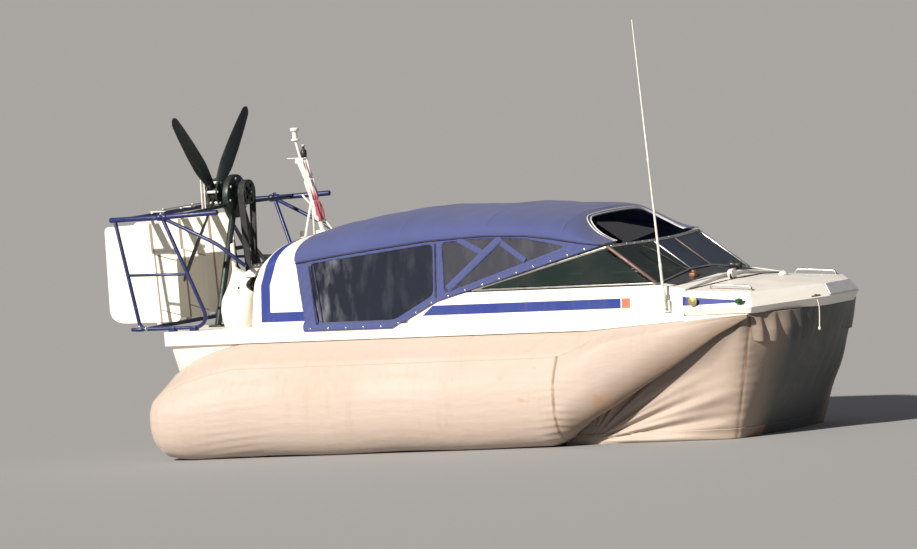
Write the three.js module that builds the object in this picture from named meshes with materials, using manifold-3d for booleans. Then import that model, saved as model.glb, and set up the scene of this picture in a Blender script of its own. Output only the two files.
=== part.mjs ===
// A small passenger hovercraft: white moulded hull and decks, full fabric skirt bags, a blue canvas canopy with clear
// side curtains, a raked windshield, an open four-blade pusher propeller on a belt-drive tower, three rudders in a
// tubular guard, a raked mast and a whip antenna. Millimetres, +X towards the bow, +Y to port, +Z up. The frame's
// origin is the middle of the whole craft, on the ground.
import * as THREE from 'three';
import Module from 'manifold-3d';
import { mergeVertices } from 'three/addons/utils/BufferGeometryUtils.js';
import { ConvexGeometry } from 'three/addons/geometries/ConvexGeometry.js';

const wasm = await Module();
wasm.setup();

// Driving dimensions.
const GAP = 0.4; // between pieces that rest on each other
const SLIVER = 0.05; // edges shorter than this are collapsed
const BOW_X = 3290;
const RUDDER_TAIL_X = -3290;
const HALF_BEAM = 980; // of the deck
const BAG_HALF_BEAM = 1265;
const KEEL_Z = 160;
const KEEL_HALF = 620;
const HULL_HALF = 955;
const GUNWALE_LOW_Z = 950;
const HULL_TOP_Z = 1040;
const DECK_Z = 1070;
const COAMING_Z = 1300;
const TRANSOM_X = -2520;
const WELL_AFT_X = -1180;
const WELL_FORE_X = 1900;
const TRUNK_FORE_X = 2280;
const FLOOR_Z = 420;
const SHAFT_Z = 2150;
const PROP_X = -2500;
const PROP_RADIUS = 960;
const RUDDER_X = -2830;
const RUDDER_SPACING = 530;
const CRANK_Z = 1350;
const BELT_X = -2205;
const PROP_PULLEY_RADIUS = 100;
const CRANK_PULLEY_RADIUS = 40;
const COWL_AFT_X = -1770;
const COWL_FORE_X = WELL_AFT_X - 10;
const STARBOARD = -1;
const PORT = 1;
const SIDES = [['starboard', STARBOARD], ['port', PORT]];

const finish = (color, roughness, metalness = 0) => new THREE.MeshStandardMaterial({ color, roughness, metalness });
const gelcoat = finish(0xf1efe6, 0.35);
const deckGrey = finish(0xb9b9c4, 0.5);
const skirtCloth = finish(0xd3bfa8, 0.85);
const canvas = finish(0x5a5fa6, 0.9);
const clearVinyl = finish(0x59626b, 0.2);
const tintedGlass = finish(0x27343a, 0.08);
const bareAluminium = finish(0xaeb0b2, 0.35, 1);
const bluePaint = finish(0x27305e, 0.45, 0.2);
const darkSteel = finish(0x24302f, 0.55, 0.5);
const bladeBlack = finish(0x171c1e, 0.45);
const rubber = finish(0x1a1a1a, 0.8);
const seatVinyl = finish(0x40465c, 0.7);
const whitePlastic = finish(0xf5f3ea, 0.4);
const darkPlastic = finish(0x25282b, 0.6);
const rudderWhite = finish(0xf4f0e2, 0.4);

const craft = new THREE.Group();

// A closed geometry as a solid that can be joined and cut, turned right way out if its faces point inwards.
function solid(geometry) {
  const bare = new THREE.BufferGeometry().setAttribute('position', geometry.getAttribute('position'));
  if (geometry.index) bare.setIndex(geometry.index);
  const merged = mergeVertices(bare, 1e-3);
  const triVerts = new Uint32Array(merged.index.array);
  const build = () => new wasm.Manifold(
    new wasm.Mesh({ numProp: 3, vertProperties: merged.attributes.position.array, triVerts }));
  const made = build();
  if (made.volume() >= 0) return made;
  for (let i = 0; i < triVerts.length; i += 3) {
    [triVerts[i + 1], triVerts[i + 2]] = [triVerts[i + 2], triVerts[i + 1]];
  }
  return build();
}

const asSolid = (shape) => (shape.isBufferGeometry ? solid(shape) : shape);
const join = (...shapes) => shapes.flat().map(asSolid).reduce((whole, next) => whole.add(next));
const lifted = (base) => base.translate([0, 0, GAP]);
const cut = (body, ...tools) => tools.flat().map(asSolid).reduce((left, tool) => left.subtract(tool), asSolid(body));

function geometryOf(body) {
  const mesh = body.getMesh();
  const position = new THREE.BufferAttribute(new Float32Array(mesh.vertProperties), mesh.numProp);
  const index = new THREE.BufferAttribute(new Uint32Array(mesh.triVerts), 1);
  return new THREE.BufferGeometry().setAttribute('position', position).setIndex(index);
}

function add(name, shape, material) {
  const mesh = new THREE.Mesh(geometryOf(asSolid(shape).simplify(SLIVER)), material);
  mesh.name = name;
  craft.add(mesh);
}

const mix = (a, b, share) => a + (b - a) * share;

function block(x, y, z) {
  const box = new THREE.BoxGeometry(x[1] - x[0], y[1] - y[0], z[1] - z[0]);
  return box.translate((x[0] + x[1]) / 2, (y[0] + y[1]) / 2, (z[0] + z[1]) / 2);
}

// A round bar from a to b, its radius at each end.
function bar(a, b, radius, endRadius = radius, sides = 8) {
  const from = new THREE.Vector3(...a);
  const way = new THREE.Vector3(...b).sub(from);
  const cylinder = new THREE.CylinderGeometry(endRadius, radius, way.length(), sides);
  cylinder.translate(0, way.length() / 2, 0);
  cylinder.applyQuaternion(new THREE.Quaternion().setFromUnitVectors(new THREE.Vector3(0, 1, 0), way.normalize()));
  return cylinder.translate(...a);
}

// A bent tube: bars between the points, each run a little past the bend so that they close it.
function pipe(points, radius, sides = 8) {
  const last = points.length - 2;
  return join(points.slice(1).map((point, i) => {
    const [a, b] = [points[i], point].map((p) => new THREE.Vector3(...p));
    const past = b.clone().sub(a).setLength(radius * 0.35);
    if (i > 0) a.sub(past);
    if (i < last) b.add(past);
    return bar(a.toArray(), b.toArray(), radius, radius, sides);
  }));
}

// The corners of a flat outline, each edge moved inwards by the inset.
function insetCorners(corners, inset) {
  const points = corners.map((p) => new THREE.Vector3(...p));
  const count = points.length;
  return points.map((p, i) => {
    const before = p.clone().sub(points[(i + count - 1) % count]).normalize();
    const after = points[(i + 1) % count].clone().sub(p).normalize();
    const share = inset / Math.sin(before.angleTo(after));
    return p.clone().addScaledVector(before, -share).addScaledVector(after, share);
  });
}

const convex = (points) => new ConvexGeometry(points.map((p) => new THREE.Vector3(...p)));

// Each point with its mirror image on the other side of the centre plane.
const bothSides = (points) => points.flatMap(([x, y, z]) => (y ? [[x, y, z], [x, -y, z]] : [[x, y, z]]));

// A skin over rings of [x, y, z] points, all of one count, closed by a cap at each end.
function loft(rings) {
  const count = rings[0].length;
  const index = [];
  for (let r = 0; r < rings.length - 1; r += 1) {
    for (let i = 0; i < count; i += 1) {
      const j = (i + 1) % count;
      const [a, b, c, d] = [r * count + i, r * count + j, (r + 1) * count + i, (r + 1) * count + j];
      index.push(a, b, d, a, d, c);
    }
  }
  index.push(...capOf(rings[0], 0, false), ...capOf(rings.at(-1), (rings.length - 1) * count, true));
  const position = new THREE.BufferAttribute(new Float32Array(rings.flat(2)), 3);
  return new THREE.BufferGeometry().setAttribute('position', position).setIndex(index);
}

// The flat end of a loft, its triangles turned along the ring or against it.
function capOf(ring, first, along) {
  const spans = [0, 1, 2].map((k) => Math.max(...ring.map((p) => p[k])) - Math.min(...ring.map((p) => p[k])));
  const thin = spans.indexOf(Math.min(...spans));
  const [u, v] = [0, 1, 2].filter((k) => k !== thin);
  const flat = ring.map((p) => new THREE.Vector2(p[u], p[v]));
  const turn = Math.sign(THREE.ShapeUtils.area(flat));
  return THREE.ShapeUtils.triangulateShape(flat, []).flatMap((face) => {
    const same = Math.sign(THREE.ShapeUtils.area(face.map((i) => flat[i]))) === turn;
    const ordered = same === along ? face : [face[0], face[2], face[1]];
    return ordered.map((i) => i + first);
  });
}

function outline(points, holes = []) {
  const shape = new THREE.Shape(points.map((p) => new THREE.Vector2(...p)));
  shape.holes = holes.map((hole) => new THREE.Path(hole.map((p) => new THREE.Vector2(...p))));
  return shape;
}

const extruded = (shape, depth) => new THREE.ExtrudeGeometry(shape, { depth, bevelEnabled: false, curveSegments: 6 });

// A plan outline in X and Y, from z upwards.
const slab = (points, z, height, holes = []) => extruded(outline(points, holes), height).translate(0, 0, z);

// A vertical panel from an outline in X and Z. Its outer face stands at |y| = base, leaning inboard by lean for each
// millimetre above DECK_Z, and it is thick inboard of that.
function sidePanel(side, points, base, lean, thick, holes = []) {
  const panel = extruded(outline(points, holes), thick).rotateX(Math.PI / 2);
  const place = panel.getAttribute('position');
  for (let i = 0; i < place.count; i += 1) {
    const inboard = -place.getY(i);
    place.setY(i, side * (base - lean * (place.getZ(i) - DECK_Z) - inboard));
  }
  return panel;
}

// One arch in a plane of constant x, from the starboard foot over the crown to the port foot, rounder at the
// shoulders as the power grows.
function arch(x, half, footZ, crownZ, power = 2.5, count = 13) {
  return Array.from({ length: count }, (_, i) => {
    const angle = (i / (count - 1)) * Math.PI;
    const y = -half * Math.sign(Math.cos(angle)) * Math.abs(Math.cos(angle)) ** (2 / power);
    const z = mix(footZ, crownZ, Math.abs(Math.sin(angle)) ** (2 / power));
    return [x, y, z];
  });
}

// Hull: a scow with a flat bottom, flared sides and a raised bow, hollow where the cockpit is.
const hullHalfAt = (z) => mix(KEEL_HALF, HULL_HALF, (z - KEEL_Z) / (GUNWALE_LOW_Z - KEEL_Z));

function makeHull() {
  const columns = ['x', 'keelZ', 'keelHalf', 'lipZ', 'topHalf'];
  const table = [
    [TRANSOM_X, 300, 600, 950, 945],
    [-2100, KEEL_Z, KEEL_HALF, 950, HULL_HALF],
    [1500, KEEL_Z, KEEL_HALF, 950, HULL_HALF],
    [2300, 380, 560, 965, 940],
    [2890, 760, 480, 990, 815],
    [3180, 940, 180, 1005, 215],
  ].map((row) => Object.fromEntries(row.map((value, i) => [columns[i], value])));
  const rings = table.map(({ x, keelZ, keelHalf, lipZ, topHalf }) => [
    [x, -topHalf, HULL_TOP_Z], [x, -topHalf, lipZ], [x, -keelHalf, keelZ],
    [x, keelHalf, keelZ], [x, topHalf, lipZ], [x, topHalf, HULL_TOP_Z],
  ]);
  const well = loft([WELL_AFT_X, WELL_FORE_X].map((x) => [
    [x, -900, 1100], [x, -655, FLOOR_Z], [x, 655, FLOOR_Z], [x, 900, 1100],
  ]));
  add('hull', cut(loft(rings), well), gelcoat);

  // Runners that the craft stands on when it is parked.
  for (const [name, side] of SIDES) {
    const profile = [[-1850, KEEL_Z - GAP], [-1700, 0], [1250, 0], [1400, KEEL_Z - GAP]];
    const runner = extruded(outline(profile), 90).rotateX(Math.PI / 2).translate(0, side * 420 + 45, 0);
    add(`landing_skid_${name}`, runner, rubber);
  }
}

// The height of the deck edge's underside, less a gap: what hangs from it starts there.
const deckEdgeZ = (x) => mix(GUNWALE_LOW_Z, 1002, Math.max(0, (x - 1400) / (TRUNK_FORE_X - 1400))) - GAP;

// Main deck: a flat rim round the cockpit and the engine deck behind it, its edge turned down over the hull.
function makeMainDeck() {
  const rim = slab(
    [[-2560, -HALF_BEAM], [TRUNK_FORE_X - GAP, -HALF_BEAM], [TRUNK_FORE_X - GAP, HALF_BEAM], [-2560, HALF_BEAM]],
    HULL_TOP_Z + GAP, DECK_Z - HULL_TOP_Z - GAP,
    [[[WELL_AFT_X, -890], [WELL_AFT_X, 890], [WELL_FORE_X, 890], [WELL_FORE_X, -890]]]);
  const turnedDown = [[-2560, GUNWALE_LOW_Z], [1400, GUNWALE_LOW_Z], [TRUNK_FORE_X - GAP, 1002],
    [TRUNK_FORE_X - GAP, 1050], [-2560, 1050]];
  const edges = SIDES.map(([, side]) => sidePanel(side, turnedDown, HALF_BEAM, 0, 24));
  add('main_deck', join(rim, edges), gelcoat);
}

const CURTAIN_FACE = 942; // |y| of the canvas side curtains' outer face at deck level
const SIDE_LEAN = 0.1;
const CURTAIN_THICK = 8;
const COAMING_FACE = CURTAIN_FACE - CURTAIN_THICK - GAP;

// Coamings: the white topsides that carry the stripe, low where people step in.
function coamingShape(side) {
  const fore = TRUNK_FORE_X - GAP;
  const points = [[-400, DECK_Z + GAP], [fore, DECK_Z + GAP], [fore, 1262], [2050, COAMING_Z], [250, COAMING_Z],
    [0, 1262]];
  return solid(sidePanel(side, points, COAMING_FACE, SIDE_LEAN, 30));
}

function makeCoamings() {
  for (const [name, side] of SIDES) add(`coaming_${name}`, coamingShape(side), gelcoat);
}

// Cabin trunk: the raised deck that the windshield stands on, between the coamings.
function trunkShape() {
  const sideAt = (z) => COAMING_FACE - 30 - GAP - SIDE_LEAN * (z - DECK_Z);
  const base = DECK_Z + GAP;
  const [aft, fore] = [WELL_FORE_X + 10, TRUNK_FORE_X - GAP];
  return solid(convex(bothSides([
    [aft, sideAt(base), base], [fore, sideAt(base), base],
    [aft, sideAt(1296), 1296], [2050, sideAt(1296), 1296], [fore, sideAt(1260), 1260],
    [aft, 190, 1375], [2010, 190, 1370], [fore, 190, 1325],
  ])));
}

const makeTrunk = () => add('cabin_trunk', trunkShape(), gelcoat);

// Foredeck: a low faceted cap with chamfered bow corners, and the grey step plate on its raked front.
const NOSE_X = 3222;
const NOSE_Z = 1218;
const LIP_Z = 1118;

function foredeckShape() {
  const aft = TRUNK_FORE_X;
  const base = HULL_TOP_Z + GAP;
  return solid(convex(bothSides([
    [aft, 950, base], [2885, 945, base], [3240, 262, base],
    [aft, HALF_BEAM, 1085], [2912, HALF_BEAM, 1095], [BOW_X, 275, LIP_Z],
    [aft, 905, 1246], [2850, 885, 1215],
    [aft, 190, 1298], [NOSE_X, 240, NOSE_Z],
  ])));
}

function makeForedeck() {
  add('foredeck', foredeckShape(), gelcoat);
  const [run, drop] = [BOW_X - NOSE_X, NOSE_Z - LIP_Z];
  const length = Math.hypot(run, drop);
  const onFace = (share, y, off) =>
    [NOSE_X + share * run + off * drop / length, y, NOSE_Z - share * drop + off * run / length];
  const plate = [GAP, 9].flatMap((off) => [onFace(0.04, 232, off), onFace(0.88, 259, off)]);
  add('bow_step_plate', convex(bothSides(plate)), deckGrey);
}

// Rear cowl: the rounded moulding behind the cabin, bored from behind for the lift fan.
function cowlShape() {
  const table = [
    // x, half width at the shoulder, shoulder z, crown z
    [COWL_AFT_X, 850, 1290, 1440], [COWL_AFT_X + 25, 862, 1400, 1560], [COWL_AFT_X + 80, 870, 1490, 1680],
    [COWL_AFT_X + 170, 874, 1550, 1760], [COWL_AFT_X + 290, 876, 1580, 1796], [COWL_FORE_X, 876, 1590, 1799],
  ];
  const rings = table.map(([x, half, shoulderZ, crownZ]) => [
    [x, -half - 48, DECK_Z + GAP], ...arch(x, half, shoulderZ, crownZ), [x, half + 48, DECK_Z + GAP],
  ]);
  const recess = bar([COWL_AFT_X - 10, 0, CRANK_Z], [COWL_AFT_X + 190, 0, CRANK_Z], 262, 262, 32);
  return cut(loft(rings), recess);
}

const makeRearCowl = () => add('rear_cowl', cowlShape(), gelcoat);

// Skirt: a full bag along each side that tapers to the bow corner, a bag across the stern, and the bow curtain with
// a gathered flap under the deck's edge.
function bagRing(side, { x, top, low, out, inner, seam }) {
  const topHalf = Math.min(hullHalfAt(top) + 6, HALF_BEAM - 3);
  const creaseY = out - 115;
  const creaseZ = seam || mix(low, top, 0.8);
  const [midY, midZ] = [(out + inner) / 2, (creaseZ + low) / 2];
  const [reachY, reachZ] = [(out - inner) / 2, (creaseZ - low) / 2];
  const points = [[x < 1400 ? topHalf : HALF_BEAM - 3, top]];
  if (seam) points.push([creaseY, creaseZ]);
  else points.push([mix(topHalf, out, 0.55), mix(creaseZ, top, 0.45)]);
  for (const degrees of [52, 28, 5, -18, -42, -66, -90, -116, -142, -165]) {
    const angle = THREE.MathUtils.degToRad(degrees);
    const round = (value) => Math.sign(value) * Math.abs(value) ** 0.86;
    points.push([midY + reachY * round(Math.cos(angle)), midZ + reachZ * round(Math.sin(angle))]);
  }
  points.push([Math.max(inner, hullHalfAt(midZ) + 8), midZ + 10]);
  return points.map(([y, z]) => [x, side * y, z]);
}

function makeSideBags() {
  const columns = ['x', 'top', 'low', 'out', 'inner', 'seam'];
  const table = [
    [-2700, 520, 230, 1080, 880, 0],
    [-2650, 610, 110, 1165, 830, 0],
    [-2540, 700, 30, 1222, 790, 0],
    [-2340, 810, 0, 1255, 720, 0],
    [-2100, 895, 0, 1262, 680, 0],
    [-1850, deckEdgeZ(-1850), 0, BAG_HALF_BEAM, 672, 752],
    [-300, deckEdgeZ(-300), 0, BAG_HALF_BEAM, 672, 748],
    [1150, deckEdgeZ(1150), 0, BAG_HALF_BEAM, 672, 745],
    [1400, deckEdgeZ(1400), 0, 1262, 945, 0],
    [1520, deckEdgeZ(1520), 82, 1248, 968, 0],
    [1850, deckEdgeZ(1850), 300, 1205, 972, 0],
    [2200, deckEdgeZ(2200), 560, 1135, 978, 0],
    [2600, 1022, 842, 1060, 980, 0],
    [2870, 1037, 1005, 1003, 983, 0],
  ].map((row) => Object.fromEntries(row.map((value, i) => [columns[i], value])));
  for (const [name, side] of SIDES) {
    add(`side_bag_${name}`, loft(table.map((row) => bagRing(side, row))), skirtCloth);
  }
}

function makeSternBag() {
  const against = TRANSOM_X - GAP;
  const profile = [[against, 740], [-2640, 722], [-2745, 620], [-2792, 450], [-2778, 240], [-2700, 75], [-2590, 0],
    [-2490, 15], [-2430, 120], [-2425, 262], [against, 298]];
  const half = 655;
  add('stern_bag', extruded(outline(profile), 2 * half).rotateX(Math.PI / 2).translate(0, half, 0), skirtCloth);
}

// The bow curtain's plan at one height, a smooth line from its starboard end round the bow to its port end.
function curtainCurve({ aftX, sideX, half, frontX, frontHalf }) {
  const starboard = [
    [aftX, -half], [mix(aftX, sideX - 60, 0.6), -half], [sideX - 60, -half + 12],
    [mix(sideX, frontX, 0.5), -mix(half, frontHalf, 0.42)], [frontX - 35, -frontHalf], [frontX, 0],
  ];
  const line = [...starboard, ...starboard.slice(0, -1).reverse().map(([x, y]) => [x, -y])];
  return new THREE.SplineCurve(line.map((p) => new THREE.Vector2(...p)));
}

// Points along that line between two shares of its length, each moved outwards.
function alongCurtain(curve, from, to, count, outwards) {
  return Array.from({ length: count + 1 }, (_, i) => {
    const share = i / count;
    const point = curve.getPointAt(mix(from, to, share));
    const along = curve.getTangentAt(mix(from, to, share));
    return [point.x + along.y * outwards(share), point.y - along.x * outwards(share)];
  });
}

const BOW_CURTAIN = [
  { z: 0, aftX: 1415, sideX: 2700, half: 925, frontX: 2905, frontHalf: 380 },
  { z: 160, aftX: 1600, sideX: 2765, half: 930, frontX: 2990, frontHalf: 360 },
  { z: 460, aftX: 1955, sideX: 2835, half: 934, frontX: 3115, frontHalf: 325 },
  { z: 800, aftX: 2420, sideX: 2880, half: 938, frontX: 3212, frontHalf: 290 },
  { z: HULL_TOP_Z, aftX: 2800, sideX: 2905, half: 945, frontX: 3260, frontHalf: 262 },
];

function makeBowCurtain() {
  const thick = 16;
  add('bow_curtain', loft(BOW_CURTAIN.map((level) => {
    const curve = curtainCurve(level);
    const [outer, inner] = [0, -thick].map((offset) => alongCurtain(curve, 0, 1, 40, () => offset));
    return [...outer, ...inner.reverse()].map(([x, y]) => [x, y, level.z]);
  })), skirtCloth);
}

// The gathered flap: a wavy strip that hangs just outside the bow curtain.
function makeBowFlap() {
  const [pleats, startX] = [14, 2850];
  const levels = [{ z: HULL_TOP_Z, out: 4, depth: 5 }, { z: 920, out: 14, depth: 16 }, { z: 800, out: 10, depth: 10 }];
  const [low, high] = BOW_CURTAIN.slice(3);
  const rings = levels.map(({ z, out, depth }) => {
    const share = (z - low.z) / (high.z - low.z);
    const curve = curtainCurve(Object.fromEntries(Object.keys(high).map((key) => [key, mix(low[key], high[key], share)])));
    const from = curve.getSpacedPoints(400).findIndex((point) => point.x >= startX) / 400;
    const wave = (at) => depth * (1 - Math.cos(at * pleats * 2 * Math.PI)) / 2;
    const [inner, outer] = [0, 4].map((thick) =>
      alongCurtain(curve, from, 1 - from, pleats * 4, (at) => out + thick + wave(at)));
    return [...outer, ...inner.reverse()].map(([x, y]) => [x, y, z]);
  });
  add('bow_flap', loft(rings), skirtCloth);
}

// Canopy: one canvas roof over bows, its front panel open over the helm.
const EAVE = [
  // x, eave z, crown z
  [-1330, 1600, 1816], [-1200, 1618, 1864], [-950, 1650, 1924], [-600, 1690, 1972], [-100, 1742, 1990],
  [400, 1764, 1988], [820, 1752, 1980], [1150, 1704, 1965], [1350, 1672, 1830], [1545, 1650, 1676],
];
const eaveHalf = (z) => CURTAIN_FACE + 5 - SIDE_LEAN * (z - DECK_Z);

function makeCanopy() {
  const thick = 14;
  const rings = EAVE.map(([x, eaveZ, crownZ]) => [
    ...arch(x, eaveHalf(eaveZ), eaveZ, crownZ),
    ...arch(x, eaveHalf(eaveZ) - thick, eaveZ, crownZ - thick).reverse(),
  ]);
  const mouth = new THREE.Shape();
  mouth.moveTo(1700, -640).lineTo(1420, -640).quadraticCurveTo(1170, -640, 1170, -420);
  mouth.lineTo(1170, 420).quadraticCurveTo(1170, 640, 1420, 640).lineTo(1700, 640);
  const hatch = extruded(mouth, 600).translate(0, 0, 1600);
  add('canopy_top', cut(loft(rings), hatch), canvas);
}

// Side curtains: canvas frames with a big aft window and a three-cornered fore window, and the clear panes in them.
const AFT_PANE = [[-1080, 1125], [-425, 1125], [-95, 1300], [-88, 1690], [-1150, 1572]];
const FORE_PANE = [[50, 1322], [40, 1700], [380, 1718], [800, 1704], [1150, 1632]];

function makeCurtains() {
  const eaveLine = EAVE.slice(0, -1).map(([x, eaveZ]) => [x, eaveZ - GAP]);
  const points = [[-1200, DECK_Z + GAP], [-400, DECK_Z + GAP], [-20, 1235], [1500, 1640], ...eaveLine.reverse()];
  const holes = [AFT_PANE, FORE_PANE];
  const panes = holes.map((hole) => insetCorners(hole.map(([x, z]) => [x, z, 0]), GAP).map(({ x, y }) => [x, y]));
  for (const [name, side] of SIDES) {
    add(`side_curtain_${name}`, sidePanel(side, points, CURTAIN_FACE, SIDE_LEAN, CURTAIN_THICK, holes), canvas);
    add(`aft_window_${name}`, sidePanel(side, panes[0], CURTAIN_FACE - 2, SIDE_LEAN, 3), clearVinyl);
    add(`fore_window_${name}`, sidePanel(side, panes[1], CURTAIN_FACE - 2, SIDE_LEAN, 3), clearVinyl);
  }
}

// Windshield: four raked posts, a top rail and a side rail down to each coaming, with three front panes and a
// three-cornered side pane each side.
const POST = 13;
const CORNER_POST = 20;
const WINDSHIELD = {
  top: [[1560, -850, 1630], [1650, -190, 1626], [1650, 190, 1626], [1560, 850, 1630]],
  foot: [[2000, -862, 1309], [1986, -190, 1382], [1986, 190, 1382], [2000, 862, 1309]],
};
const SIDE_CORNERS = [[300, 1318], [1540, 1625], [1985, 1318]];
const sidePaneY = (z) => COAMING_FACE - 15 - SIDE_LEAN * (z - DECK_Z);

// A flat pane inside the given corners, clear of the tubes along its edges.
function pane(corners, thick) {
  const points = insetCorners(corners, POST + GAP);
  const normal = points[1].clone().sub(points[0]).cross(points[2].clone().sub(points[0])).setLength(thick / 2);
  return convex(points.flatMap((p) => [p.clone().add(normal).toArray(), p.clone().sub(normal).toArray()]));
}

function makeWindshield() {
  const { top, foot } = WINDSHIELD;
  const posts = top.map((point, i) => bar(foot[i], point, i % 3 ? POST : CORNER_POST));
  const sides = [0, 3].map((i) => {
    const [aft, up, fore] = SIDE_CORNERS.map(([x, z]) => [x, Math.sign(top[i][1]) * sidePaneY(z), z]);
    return join(pipe([top[i], up, aft], POST), pipe([foot[i], fore, aft], POST));
  });
  const frame = join(posts, sides, pipe(top, POST), pipe(foot, POST));
  add('windshield_frame', cut(frame, lifted(trunkShape()), SIDES.map(([, side]) => lifted(coamingShape(side)))),
    bareAluminium);
  ['starboard', 'centre', 'port'].forEach((name, i) => {
    const glass = pane([top[i], top[i + 1], foot[i + 1], foot[i]], 6);
    add(`windshield_pane_${name}`, i === 1 ? glass : cut(glass, bar(foot[i * 1.5], top[i * 1.5], CORNER_POST + GAP)),
      tintedGlass);
  });
  for (const [name, side] of SIDES) {
    add(`side_glass_${name}`, pane(SIDE_CORNERS.map(([x, z]) => [x, side * sidePaneY(z), z]), 6), tintedGlass);
  }
}

// Inside: the dash with its wheel, two front seats and a rear bench.
const HELM_TILT = THREE.MathUtils.degToRad(65);
const HELM = [1515, 360, 1190];

function makeCabin() {
  const half = 715;
  const back = WELL_FORE_X - GAP;
  const dash = extruded(outline([[1560, 1120], [1620, 1240], [back, 1296], [back, 640], [1780, 640], [1700, 1060]]),
    2 * half);
  const along = (reach) => [HELM[0] + reach * Math.sin(HELM_TILT), HELM[1], HELM[2] - reach * Math.cos(HELM_TILT)];
  const column = bar(along(60.5), along(130), 24, 24, 12);
  add('dashboard', join(dash.rotateX(Math.PI / 2).translate(0, half, 0), column), darkPlastic);
  const wheel = new THREE.TorusGeometry(170, 13, 8, 24);
  const spokes = [90, 210, 330].map((degrees) => {
    const angle = THREE.MathUtils.degToRad(degrees);
    return bar([0, 0, 0], [168 * Math.cos(angle), 168 * Math.sin(angle), 0], 9);
  });
  const hub = new THREE.CylinderGeometry(32, 32, 70, 12).rotateX(Math.PI / 2).translate(0, 0, -25);
  const helm = geometryOf(join(wheel, spokes, hub));
  helm.rotateY(-HELM_TILT).translate(...HELM);
  add('steering_wheel', helm, rubber);
  for (const [name, side] of SIDES) {
    const profile = [[850, FLOOR_Z + GAP], [1250, FLOOR_Z + GAP], [1270, 800], [1310, 820], [1300, 900], [900, 880],
      [770, 1380], [670, 1370], [790, 800]];
    const seat = extruded(outline(profile), 480).rotateX(Math.PI / 2).translate(0, side * 360 + 240, 0);
    add(`seat_${name}`, seat, seatVinyl);
  }
  const bench = extruded(outline([[-1179, FLOOR_Z + GAP], [-640, FLOOR_Z + GAP], [-640, 820], [-600, 840],
    [-610, 910], [-1010, 890], [-1080, 1420], [-1179, 1420]]), 1240);
  add('rear_bench', bench.rotateX(Math.PI / 2).translate(0, 620, 0), seatVinyl);
}

const guardY = (z) => 935 + 92 * (z - 1110) / 920; // |y| of the leaning guard at a height

// Engine deck: the engine block, the open tower that carries the propeller shaft, and the belt between them.
function makeEngine() {
  const mounts = [[-2100, -180], [-2100, 180], [-1840, -180], [-1840, 180]].map(([x, y]) =>
    block([x - 30, x + 30], [y - 30, y + 30], [DECK_Z + GAP, 1165]));
  const body = block([-2140, -1800], [-225, 225], [1150, 1500]);
  const head = block([-2120, -1830], [-150, 150], [1490, 1560]);
  add('engine_block', join(mounts, body, head), darkSteel);
}

function makeTower() {
  const legX = -2297;
  const legs = SIDES.map(([, side]) => bar([legX, side * 500, DECK_Z + 14], [legX, side * 55, 2070], 28));
  const feet = SIDES.map(([, side]) =>
    block([legX - 60, legX + 60], [side * 500 - 60, side * 500 + 60], [DECK_Z + GAP, DECK_Z + 16]));
  const braces = SIDES.map(([, side]) => bar([legX, side * 225, 1692], [-1900, side * 390, DECK_Z + 14], 17));
  const braceFeet = SIDES.map(([, side]) =>
    block([-1940, -1860], [side * 390 - 40, side * 390 + 40], [DECK_Z + GAP, DECK_Z + 16]));
  const tie = bar([legX, -225, 1692], [legX, 225, 1692], 17);
  const plate = bar([-2345, 0, 2125], [-2290, 0, 2125], 182, 182, 32);
  const bearing = bar([-2405, 0, SHAFT_Z], [-2262, 0, SHAFT_Z], 66, 66, 24);
  const railZ = mix(RAIL[1][1], RAIL[2][1], (-2320 - RAIL[1][0]) / (RAIL[2][0] - RAIL[1][0]));
  const railTies = SIDES.map(([, side]) =>
    bar([-2320, side * 120, 2060], [-2320, side * (guardY(railZ) - RAIL_TUBE - GAP), railZ], 14));
  const bore = bar([-2440, 0, SHAFT_Z], [-2240, 0, SHAFT_Z], 22.6, 22.6, 24);
  add('propeller_tower', cut(join(legs, feet, braces, braceFeet, tie, plate, bearing, railTies), bore), darkSteel);
}

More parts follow.
